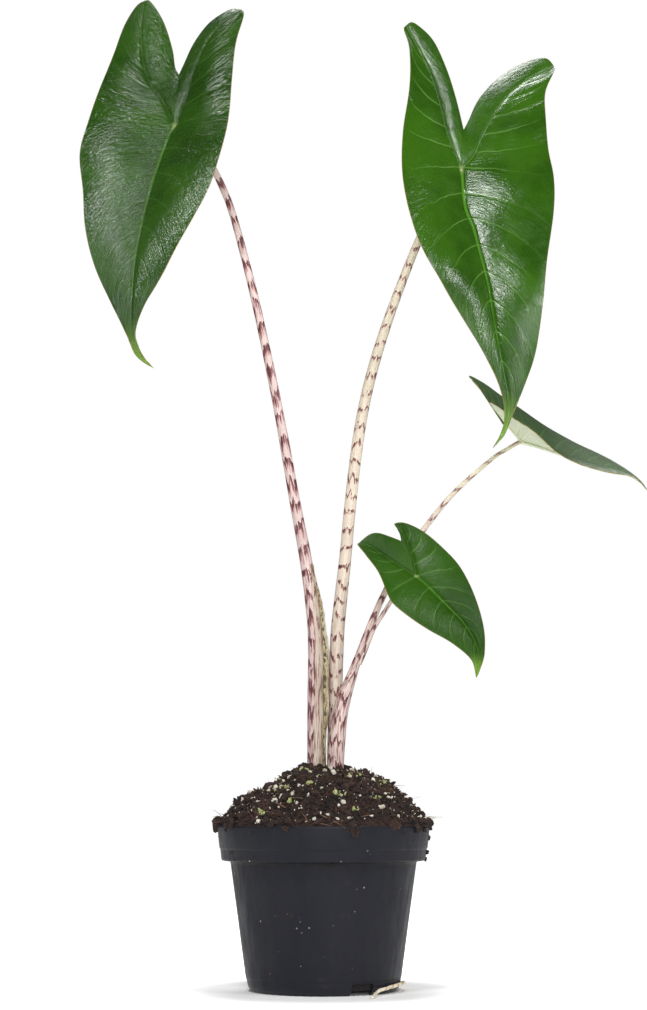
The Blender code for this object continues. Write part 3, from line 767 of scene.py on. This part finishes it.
class PLANT_OT_leaves(bpy.types.Operator):
    """Four arrow-shaped blades with veins, a folded midrib and ribs below"""
    bl_idname = "plant.leaves"
    bl_label = "Leaves"

    def execute(self, context):
        settings = context.scene.plant_leaf
        glossy = leaf_material(settings, "leaf_upper_face", GLOSSY)
        satin = leaf_material(settings, "young_leaf_upper_face", SATIN)
        under = underside_material(settings)
        rim = mottled("leaf_edge", 0.45, 220, (0.35, 0.7), settings.edge, (0.42, 0.36, 0.10), detail=3)
        for key, leaf in LEAVES.items():
            item, lines, turn, at = blade(leaf, settings.rows, settings.columns)
            for mat in (satin if leaf["matte"] > 0.5 else glossy, under, rim):
                item.data.materials.append(mat)
            shell = item.modifiers.new("thickness", "SOLIDIFY")
            shell.thickness, shell.offset = settings.thickness, -1
            shell.material_offset, shell.material_offset_rim = 1, 2
            apply_all(item)
            shade_smooth(item, 60)
            finish(item, "leaf_" + key, [], "leaf_blade", "blade_" + key)
            finish(under_ribs(leaf, lines, turn, at), "leaf_ribs_" + key, [under], "leaf_blade")
        return {"FINISHED"}


# Stalks, sheath, root, corm

def stalk_material(settings, name, look):
    pink, dense, green_top = look
    sh = Shader(name, 0.42)
    skin = sh.attribute("skin", out=1)
    run = sh.parts(skin)[2]
    cloud = sh.grain(skin, 0.5, 0.06, 4, 0.6)
    fibre = sh.grain(skin, 3.2, 0.09, 3, 0.6)
    streak = sh.grain(skin, 1.5, 0.05, 4, 0.65)
    blot = sh.grain(skin, 0.55, 0.07, 3, 0.6)
    broken = sh.grain(skin, 0.45, 0.2, 3, 0.6, 0.6)
    wobble = sh.grain(skin, 0.32, 0.03, 2, 0.5)
    tall = sh.grain(skin, 1.1, 0.08, 3, 0.6)
    tooth = (run / (9.0 + 4.5 * dense) + wobble * 1.7 + blot * 0.5).fract().fade(0.70 - 0.55 * dense, 0.97)
    low = run.fade(60.0, 150.0, 1.0, 0.0)
    ragged = (tooth * 0.75 + (tall - 0.5) * (0.8 + 2.0 * dense) + (broken - 0.5)).fade(0.34, 0.52)
    marks = ragged * tooth.fade(0.0, 0.15) * broken.fade(0.49 - 0.2 * dense, 0.53 - 0.14 * dense)
    lines = streak.fade(0.53, 0.60) * dense * low
    stains = blot.fade(0.52, 0.60) * streak.fade(0.42, 0.54) * dense * low
    plain = run.fade(130.0, 230.0) * green_top
    wash = tooth.fade(0.0, 0.6) * (tall * 0.6 + blot * 0.4).fade(0.38, 0.52) * dense * run.fade(90.0, 170.0)
    dark = (marks * tooth.fade(0.35, 0.85) * tall.fade(0.42, 0.52)).most(
        stains * streak.fade(0.46, 0.56)).most(lines * fibre.fade(0.45, 0.55) * 0.9)
    ground = [a + (b - a) * pink for a, b in zip(settings.cream, settings.pink)]
    base = sh.coats(
        sh.mix(cloud.fade(0.35, 0.65), ground, [min(1.0, c * 1.12 + 0.02) for c in ground]),
        (run.fade(120.0, 240.0) * green_top, settings.green),
        (fibre.fade(0.50, 0.70) * (0.15 + 0.25 * dense), [c * 0.65 for c in ground]),
        (wash * (1 - plain) * 0.5, (0.30, 0.10, 0.10)),
        (marks.most(lines * 0.8).most(stains) * (1 - plain * 0.8) * 0.85, (0.26, 0.065, 0.065)),
        (dark * (1 - plain * 0.8) * 0.92, settings.band))
    return sh.set(Base_Color=base, Normal=sh.bump(fibre * 0.5 + dark * 0.25 + cloud * 0.3, 0.0005, 0.4))


class PLANT_OT_stalks(bpy.types.Operator):
    """Four banded leaf stalks, thick at the base and bent over under their blades"""
    bl_idname = "plant.stalks"
    bl_label = "Leaf stalks"

    def execute(self, context):
        settings = context.scene.plant_stalk
        for key, points in STALKS.items():
            item = tube(points, settings.sides, 240 if key != "small" else 60)
            mat = stalk_material(settings, "stalk_skin_" + key, STALK_LOOK[key])
            finish(item, "stalk_" + key, [mat], "stalk_skin", "petiole_" + key)
        return {"FINISHED"}


def sheath_material(settings):
    sh = Shader("sheath_skin")
    place = sh.place()
    middle = abs(sh.attribute("wing") - 0.72).fade(0.05, 0.3, 1.0, 0.0)
    cloud = sh.grain(place, 420, 33.6, 4, 0.6)
    lines = sh.grain(place, 900, 45, 4, 0.65)
    stain = sh.grain(place, 330, 39.6, 3, 0.6)
    blots = sh.grain(place, 560, 308, 3, 0.65, 0.8)
    base = sh.coats(
        sh.mix(cloud.fade(0.4, 0.62), (0.52, 0.44, 0.36), (0.44, 0.35, 0.28)),
        (middle * cloud.fade(0.3, 0.6, 0.4, 0.8), settings.sheath),
        (lines.fade(0.50, 0.60) * (1 - middle * 0.5), (0.17, 0.055, 0.045)),
        (stain.fade(0.56, 0.66) * 0.8, (0.12, 0.045, 0.035)),
        (blots.fade(0.50, 0.55) * middle * 0.92, (0.030, 0.018, 0.010)))
    return sh.set(Base_Color=base, Normal=sh.bump(cloud, 0.0005, 0.4))


class PLANT_OT_sheath(bpy.types.Operator):
    """Thin wing of the sheath on the left stalk"""
    bl_idname = "plant.sheath"
    bl_label = "Sheath"

    def execute(self, context):
        rows, columns = 90, 14
        table = np.array(SHEATH, float).T
        steps = np.linspace(0, 1, len(SHEATH))
        item, cells = grid(columns, rows)
        places, wing = [], []
        for column, row in cells:
            z, cx, cy, radius, start, end, flare = (np.interp(row / rows, steps, values) for values in table)
            u = column / columns
            a = math.radians(start + (end - start) * min(u, HUGGING) / HUGGING)
            out, far = math.radians(end + 8), flare * max(0.0, u - HUGGING) / (1 - HUGGING)
            x = cx + radius * math.cos(a) + far * math.cos(out)
            y = cy + radius * math.sin(a) + far * math.sin(out)
            x += 0.25 * math.sin(z * 0.21) * u + 0.12 * math.sin(z * 0.9) * u
            places.append((x * MM, y * MM, z * MM))
            wing.append(u)
        put(item, places, wing=wing)
        shell = item.modifiers.new("thickness", "SOLIDIFY")
        shell.thickness, shell.offset = 0.00055, 0
        apply_all(item)
        shade_smooth(item, 50)
        weld(item, 1e-7, outward=True)
        mat = sheath_material(context.scene.plant_stalk)
        finish(item, "sheath_wing", [mat], "sheath_skin", "sheath_left")
        return {"FINISHED"}


class PLANT_OT_root(bpy.types.Operator):
    """Pale root out of a drain notch, lying along the foot, and the corm in the mix"""
    bl_idname = "plant.root"
    bl_label = "Root and corm"

    def execute(self, context):
        item = tube([(x, y, z, r * ROOT_SWELL) for x, y, z, r in ROOT], 14, 120)
        noise.seed_set(ROOT_SEED)
        for v in item.data.vertices:
            v.co += noise.noise_vector(v.co * 260) * 0.00025
        skin = mottled("root_skin", 0.6, 420, (0.42, 0.66), context.scene.plant_stalk.root,
                       (0.42, 0.28, 0.15), bump=(0.0004, 0.5))
        finish(item, "root_strand", [skin], "root_flesh", "drain_root")
        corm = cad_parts["corm"]
        corm.data.materials.clear()
        corm.data.materials.append(mottled("corm_skin", 0.8, 300, None, (0.20, 0.12, 0.07),
                                           (0.36, 0.24, 0.15), bump=(0.0006, 0.6)))
        return {"FINISHED"}


# Pot

def pot_material(settings):
    sh = Shader("pot_plastic", settings.roughness)
    place = sh.place()
    cloudy = sh.grain(place, 30, 15, 4, 0.6)
    scuff = sh.grain(place, 260, 41.6, 4, 0.7)
    fine = sh.noise(place, 1400, 2, 0.5)
    dusty = sh.noise(place, 75, 5, 0.7)
    brown = sh.noise(place, 60, 1, 0.5)
    dots = sh.cells(place, 210).fade(0.04, 0.12, 1.0, 0.0) * sh.noise(place, 95, 1, 0.5).fade(0.56, 0.60)
    # A dark line just under the rim band's step: painted shade and soil
    from_step = abs(sh.parts(place)[2] - STEP_HEIGHT + (cloudy - 0.5) * 0.004)
    shade_and_soil_line = from_step.fade(0.0004, 0.0030, 1.0, 0.0) * dusty.fade(0.42, 0.6)
    base = sh.coats(
        settings.plastic,
        (cloudy.fade(0.4, 0.62) * 0.35, (0.016, 0.016, 0.021)),
        (dusty.fade(0.58, 0.78) * 0.35, (0.040, 0.032, 0.028)),
        (dots * 0.85, sh.mix(brown.fade(0.45, 0.55), (0.42, 0.37, 0.30), (0.16, 0.05, 0.025))),
        (shade_and_soil_line * 0.8, (0.008, 0.006, 0.005)))
    rough = scuff.fade(0.3, 0.75, settings.roughness - 0.05, settings.roughness + 0.16)
    return sh.set(Base_Color=base, Roughness=rough, Specular_IOR_Level=0.17,
                  Normal=sh.bump(fine * 0.3 + scuff * 0.25 + dots * 0.5, 0.0003, 0.35))


class PLANT_OT_pot(bpy.types.Operator):
    """Tapered nursery pot with a rim band, a step line and drain notches"""
    bl_idname = "plant.pot"
    bl_label = "Nursery pot"

    def execute(self, context):
        settings = context.scene.plant_pot
        outside = lathe(POT_PROFILE, settings.segments)
        inside = lathe([POT_PROFILE[0]] + POT_INNER, settings.segments)
        pot = join([outside, inside])
        weld(pot, 1e-5, outward=True)
        cutters = []
        for angle in NOTCH_ANGLES:
            a = math.radians(angle)
            deselect()
            bpy.ops.mesh.primitive_cube_add(
                size=1, scale=NOTCH_BOX, rotation=(0, 0, a),
                location=(NOTCH_RADIUS * math.cos(a), NOTCH_RADIUS * math.sin(a), NOTCH_HEIGHT))
            bpy.ops.object.mode_set(mode="EDIT")
            bpy.ops.mesh.select_all(action="SELECT")
            bpy.ops.mesh.bevel(offset=0.001, segments=3, affect="EDGES")
            bpy.ops.object.mode_set(mode="OBJECT")
            cutters.append(bpy.context.object)
        cutter = join(cutters)
        cut = pot.modifiers.new("notches", "BOOLEAN")
        cut.operation, cut.solver, cut.object = "DIFFERENCE", "EXACT", cutter
        apply_all(pot)
        bpy.data.objects.remove(cutter)
        shade_smooth(pot, 40)
        finish(pot, "pot_shell", [pot_material(settings)], "pot_plastic", "nursery_pot")
        return {"FINISHED"}


# Potting mix

def ground(x, y):
    """Height of the lumpy surface in mm at a place on the mound."""
    r = math.hypot(x, y)
    lump = noise.fractal(Vector((x * 0.07, y * 0.07, 0.4)), 1.0, 2.0, 4) * 1.7
    lump += noise.noise(Vector((x * 0.45, y * 0.45, 2.2))) * 0.8
    dip = 4.6 * math.exp(-((x + 31) / 12) ** 2) * (1 - max(0.0, (r - 50) / 9))
    return float(np.interp(r, *zip(*MOUND))) + lump * (1 - max(0.0, (r - 55) / 4)) - dip - 0.6


def on_mound(rng, reach=57.5):
    r = reach * rng.random() ** 0.5
    a = rng.uniform(0, math.tau)
    x, y = r * math.cos(a), r * math.sin(a)
    return x, y, ground(x, y)


def strewn(rng, number_of, lift, size):
    """Places on the mound, each lifted and sized by chance within two limits."""
    out = []
    for _ in range(number_of):
        x, y, z = on_mound(rng)
        out.append((x, y, z + rng.uniform(*lift), rng.uniform(*size)))
    return out


def two_sorts(rng, number_of, share, small, large, lift, above=0.0):
    """Places on the mound for a share of small grains among large ones, lifted by a part of their size."""
    out = []
    for _ in range(number_of):
        x, y, z = on_mound(rng)
        size = rng.uniform(*(small if rng.random() < share else large))
        out.append((x, y, z + size * rng.uniform(*lift) + above, size))
    return out


def heaped(rng, low, high):
    """Places in the heaps that hang over the rim."""
    out = []
    for angle, radius, height, spread, number_of in HEAPS:
        for _ in range(number_of):
            a = math.radians(angle - 90 + rng.gauss(0, spread * 0.9) / radius * 57.3 * 0.6)
            z = height + rng.gauss(0, spread * 0.35)
            r = radius + rng.gauss(0, 0.5) * (1 if height > 90 else 0.3)
            size = rng.uniform(low, high) * (1 if height > 86 else 0.6)
            out.append((r * math.cos(a), r * math.sin(a), z, size))
    return out


def stuck(rng, number_of):
    """Places on the pot's side, most of them near the rim."""
    out = []
    for _ in range(number_of):
        a = rng.uniform(0, math.tau)
        z = RIM_TOP - 20 * rng.random() ** 2.2
        r = RIM_RADIUS - (RIM_TOP - z) * BAND_TAPER + 0.25
        out.append((r * math.cos(a), r * math.sin(a), z, rng.uniform(0.4, 1.1)))
    return out


def tufted(rng, number_of):
    """Places in tufts of nine. The first tufts lie where moss shows, the others anywhere."""
    out = []
    for n in range(number_of):
        x, y, z = on_mound(rng, 54)
        if n < len(MOSS_PLACES):
            x, y = MOSS_PLACES[n]
            z = ground(x, y)
        for _ in range(9):
            out.append((x + rng.gauss(0, 1.6), y + rng.gauss(0, 1.6), z + rng.uniform(0.2, 1.9),
                        rng.uniform(0.8, 2.2)))
    return out


def strands(rng, number_of):
    """Fibres of five points (x, y, z, radius) in mm. Every fourth one starts at the rim."""
    out = []
    for n in range(number_of):
        if n % 4:
            x, y, z = on_mound(rng, 57)
        else:
            a = math.radians(rng.choice(RIM_FIBRES) - 90 + rng.gauss(0, 8))
            x, y, z = 57.5 * math.cos(a), 57.5 * math.sin(a), 93.5 + rng.uniform(-1, 3)
        way = Vector((rng.gauss(0, 1), rng.gauss(0, 1), rng.gauss(0.25, 0.35))).normalized()
        long = rng.uniform(3, 9)
        bend = Vector((rng.gauss(0, 1), rng.gauss(0, 1), rng.gauss(-0.3, 0.5))) * long * 0.16
        start = Vector((x, y, z + 0.5))
        out.append([(*(start + way * long * t + bend * t * t * 2), 0.16 * (1 - 0.6 * t))
                    for t in (0, 0.25, 0.5, 0.75, 1.0)])
    return out


def fibre_mesh(rng, lines):
    """A three-sided tube of uneven width along each line."""
    verts, faces = [], []
    for points in lines:
        first = len(verts)
        for x, y, z, radius in points:
            radius *= rng.uniform(0.7, 1.5)
            for k in range(3):
                a = math.tau * k / 3
                verts.append(((x + radius * math.cos(a)) * MM, (y + radius * math.sin(a)) * MM,
                              (z + radius * math.sin(a + 1)) * MM))
        last = len(verts) - 3
        for ring in range(first, last, 3):
            for k, n in ((0, 1), (1, 2), (2, 0)):
                faces.append((ring + k, ring + n, ring + 3 + n, ring + 3 + k))
        faces += [(first + 2, first + 1, first), (last, last + 1, last + 2)]
    item = loose_mesh("mix_fibres", verts, faces)
    weld(item, 1e-9, outward=True)
    return item


def scatter(name, mat, places, seed, squash, level=1, form=(1, 1, 1)):
    """One piece of many turned, stretched copies of a small ball. Places are (x, y, z, size) in mm."""
    deselect()
    bpy.ops.mesh.primitive_ico_sphere_add(subdivisions=level, radius=1)
    shape = bpy.context.object
    rng = np.random.default_rng(seed)
    ball = np.array([v.co for v in shape.data.vertices], float)
    faces = [tuple(p.vertices) for p in shape.data.polygons]
    verts, polys = [], []
    for n, (x, y, z, size) in enumerate(places):
        q = rng.normal(size=4)
        w, i, j, k = q / np.linalg.norm(q)
        turn = np.array([[1 - 2 * (j * j + k * k), 2 * (i * j - k * w), 2 * (i * k + j * w)],
                         [2 * (i * j + k * w), 1 - 2 * (i * i + k * k), 2 * (j * k - i * w)],
                         [2 * (i * k - j * w), 2 * (j * k + i * w), 1 - 2 * (i * i + j * j)]])
        stretch = (1 + rng.uniform(-squash, squash, 3)) * form
        jitter = 1 + rng.uniform(-0.28, 0.28, (len(ball), 1))
        verts.append(((ball * stretch * jitter) @ turn.T * size * 0.5 + (x, y, z)) * MM)
        polys += [tuple(v + n * len(ball) for v in face) for face in faces]
    bpy.data.objects.remove(shape)
    finish(loose_mesh(name, np.concatenate(verts).tolist(), polys), name, [mat], "potting_mix")


def soil_material(settings, name, light):
    sh = Shader(name, 0.95)
    place = sh.place()
    tone = sh.noise(place, 240, 4, 0.65)
    odd = sh.noise(place, 55, 2, 0.5)
    fine = sh.noise(place, 1500, 4, 0.7)
    base = sh.coats(settings.peat, (tone.fade(0.35, 0.7), light),
                    (odd.fade(0.5, 0.7) * 0.5, [c * 1.5 for c in light]),
                    # Near-black towards the bottom of the mix: painted shade inside the pot, seen through the
                    # drain notches
                    (sh.parts(place)[2].fade(0.004, 0.03, 0.95, 0.0), (0.002, 0.0015, 0.001)))
    return sh.set(Base_Color=base, Normal=sh.bump(fine + tone, 0.0008, 0.9))


def perlite_material(settings):
    sh = Shader("perlite_grain", 0.85)
    tone = sh.noise(sh.place(), 320, 4, 0.6)
    fleck = sh.noise(sh.place(), 900, 3, 0.6)
    white = sh.coats(settings.perlite, (tone.fade(0.4, 0.7), (0.42, 0.36, 0.27)),
                     (fleck.fade(0.62, 0.72) * 0.7, (0.10, 0.07, 0.05)))
    return sh.set(Base_Color=white, Normal=sh.bump(fleck + tone, 0.0007, 0.8))


class PLANT_OT_soil(bpy.types.Operator):
    """Root ball and lumpy mound of potting mix"""
    bl_idname = "plant.soil"
    bl_label = "Potting mix"

    def execute(self, context):
        settings = context.scene.plant_soil
        rings = [(r, None) for r in np.linspace(1.0, 58.4, 44)] + BALL[:-1]
        segments = 132
        item, cells = grid(segments, len(rings) - 1)
        places = []
        for column, row in cells:
            r, z = rings[row]
            a = math.tau * (column % segments) / segments
            x, y = r * math.cos(a), r * math.sin(a)
            places.append((x * MM, y * MM, (ground(x, y) if z is None else z) * MM))
        put(item, places)
        weld(item)
        close(item)
        shade_smooth(item, 60)
        mat = soil_material(settings, "potting_mix_body", settings.bark)
        finish(item, "soil_body", [mat], "potting_mix", "potting_soil")
        return {"FINISHED"}


class PLANT_OT_litter(bpy.types.Operator):
    """Loose crumbs, perlite, moss and fibres on the mound and over the rim"""
    bl_idname = "plant.litter"
    bl_label = "Crumbs and grains"

    def execute(self, context):
        settings = context.scene.plant_soil
        rng = random.Random(5)
        fine = strewn(rng, settings.crumbs, (-0.1, 0.7), (0.7, 1.9))
        coarse = two_sorts(rng, settings.chunks, 0.88, (1.6, 3.2), (3.0, 4.8), (0.0, 0.4))
        fine += heaped(rng, 0.7, 1.8)
        coarse += heaped(rng, 1.5, 3.4)
        fine += stuck(rng, settings.strays)
        bark = strewn(rng, settings.bark_bits, (0.3, 1.2), (2.0, 5.5))
        grains = two_sorts(rng, settings.grains, 0.85, (1.0, 2.4), (2.4, 3.4), (0.2, 0.5), above=0.3)
        grains += [(x, y, z, size * 0.8) for x, y, z, size in heaped(rng, 0.7, 1.6)[::9]]
        dust = strewn(rng, settings.dust, (0.5, 1.3), (0.35, 0.9))
        moss = tufted(rng, settings.tufts)
        fibres = strands(rng, settings.fibres)

        dark = soil_material(settings, "peat_crumb", settings.bark)
        brown = soil_material(settings, "bark_bit", [c * 1.5 for c in settings.bark])
        white = perlite_material(settings)
        green = mottled("moss_bits", 0.9, 420, (0.35, 0.7), settings.moss, (0.44, 0.43, 0.22),
                        bump=(0.0008, 0.9))
        straw = mottled("fibre_strand", 0.8, 180, (0.35, 0.65), (0.05, 0.025, 0.014), (0.22, 0.12, 0.06),
                        detail=3)
        scatter("soil_crumbs", dark, fine, 11, 0.5)
        scatter("soil_chunks", dark, coarse, 12, 0.5, level=2)
        scatter("bark_bits", brown, bark, 15, 0.3, form=(1.0, 0.32, 0.2))
        scatter("perlite_grains", white, grains, 13, 0.4, level=2)
        scatter("perlite_dust", white, dust, 16, 0.4)
        scatter("moss_tufts", green, moss, 14, 0.6)
        finish(fibre_mesh(rng, fibres), "mix_fibres", [straw], "potting_mix")
        return {"FINISHED"}


# Stage

def area_light(name, place, target, size, power):
    deselect()
    bpy.ops.object.light_add(type="AREA", location=place)
    lamp = bpy.context.object
    lamp.name = name
    lamp.data.shape = "RECTANGLE"
    lamp.data.size, lamp.data.size_y = size
    lamp.data.energy = power
    lamp.rotation_euler = (Vector(target) - Vector(place)).to_track_quat("-Z", "Y").to_euler()


class PLANT_OT_stage(bpy.types.Operator):
    """Plain pale floor, soft studio lights and the camera"""
    bl_idname = "plant.stage"
    bl_label = "Studio"

    def execute(self, context):
        settings = context.scene.plant_stage
        scene = context.scene
        deselect()
        bpy.ops.mesh.primitive_plane_add(size=12, location=(0, 0, 0))
        floor = context.object
        floor.name = "studio_floor"
        sh = Shader("studio_floor", 0.9)
        x, y, _ = sh.parts(sh.place())
        seen = sh.node("ShaderNodeLightPath")
        # For the camera the floor glows, dim up to 6 cm from the pot's axis and full white from 12 cm out: a
        # painted shadow round the pot. Other rays see a weaker even glow, which lights the plant from below.
        glow_and_painted_shadow = ((x * x + y * y) ** 0.5).fade(0.06, 0.12, 0.05, 1.0) * seen + (1 - seen) * 0.3
        sh.set(Base_Color=(0.9, 0.9, 0.9), Emission_Color=sh.mix(glow_and_painted_shadow, (0, 0, 0), WHITE),
               Emission_Strength=1.0)
        floor.data.materials.append(sh.mat)

        scene.world = scene.world or bpy.data.worlds.new("studio")
        room = Nodes(scene.world)
        room.tree.nodes.clear()
        lit, backdrop = (room.node("ShaderNodeBackground", {}, {"Color": WHITE, "Strength": power})
                         for power in (settings.sky, 1.0))
        seen = room.node("ShaderNodeLightPath")
        both = room.node("ShaderNodeMixShader", {}, {0: seen, 1: lit, 2: backdrop})
        room.node("ShaderNodeOutputWorld", {}, {0: both})

        leaves, middle, low = (0, 0, 0.42), (0, 0, 0.3), (0, 0, 0.1)
        area_light("key_softbox", (-0.25, -0.75, 1.30), leaves, (0.26, 0.24), settings.key)
        area_light("side_softbox", (0.95, -0.75, 1.15), leaves, (0.3, 0.26), settings.key * 0.8)
        area_light("front_light", (0.1, -2.3, 0.75), middle, (1.8, 1.2), settings.front)
        area_light("left_light", (-1.5, -0.5, 0.5), middle, (0.6, 1.2), settings.sides)
        area_light("right_light", (1.5, -0.5, 0.4), (0, 0, 0.25), (0.6, 1.2), settings.sides * 1.3)
        area_light("back_light", (0.0, 0.7, 1.5), low, (0.6, 0.5), settings.back)

        data = bpy.data.cameras.new("camera")
        camera = bpy.data.objects.new("camera", data)
        scene.collection.objects.link(camera)
        data.lens, data.sensor_width = settings.lens, 36
        camera.location = (0, -settings.distance, settings.height)
        camera.rotation_euler = (math.pi / 2 + settings.tilt, 0, 0)
        scene.camera = camera
        scene.view_settings.view_transform = "Standard"
        return {"FINISHED"}


class PLANT_PT_panel(bpy.types.Panel):
    """Sizes, colours and building steps of the plant"""
    bl_label = "Potted plant"
    bl_idname = "PLANT_PT_panel"
    bl_space_type = "VIEW_3D"
    bl_region_type = "UI"
    bl_category = "Plant"

    def draw(self, context):
        for name, (group, operators) in GROUPS.items():
            box = self.layout.box()
            for key in group.__annotations__:
                box.prop(getattr(context.scene, name), key)
            for step in operators:
                box.operator(step.bl_idname)


# Each group of settings with the operators that read it
GROUPS = {
    "plant_pot": (PlantPotSettings, (PLANT_OT_pot,)),
    "plant_soil": (PlantSoilSettings, (PLANT_OT_soil, PLANT_OT_litter)),
    "plant_stalk": (PlantStalkSettings, (PLANT_OT_stalks, PLANT_OT_sheath, PLANT_OT_root)),
    "plant_leaf": (PlantLeafSettings, (PLANT_OT_leaves,)),
    "plant_stage": (PlantStageSettings, (PLANT_OT_stage,)),
}
CLASSES = [cls for group, operators in GROUPS.values() for cls in (group, *operators)] + [PLANT_PT_panel]


def register():
    for cls in CLASSES:
        bpy.utils.register_class(cls)
    for name, (group, _) in GROUPS.items():
        setattr(bpy.types.Scene, name, PointerProperty(type=group))


def unregister():
    for name in GROUPS:
        delattr(bpy.types.Scene, name)
    for cls in reversed(CLASSES):
        bpy.utils.unregister_class(cls)


def main():
    register()
    bpy.ops.plant.pot()
    bpy.ops.plant.soil()
    bpy.ops.plant.litter()
    bpy.ops.plant.stalks()
    bpy.ops.plant.sheath()
    bpy.ops.plant.root()
    bpy.ops.plant.leaves()
    bpy.ops.plant.stage()


if __name__ == "__main__":
    main()
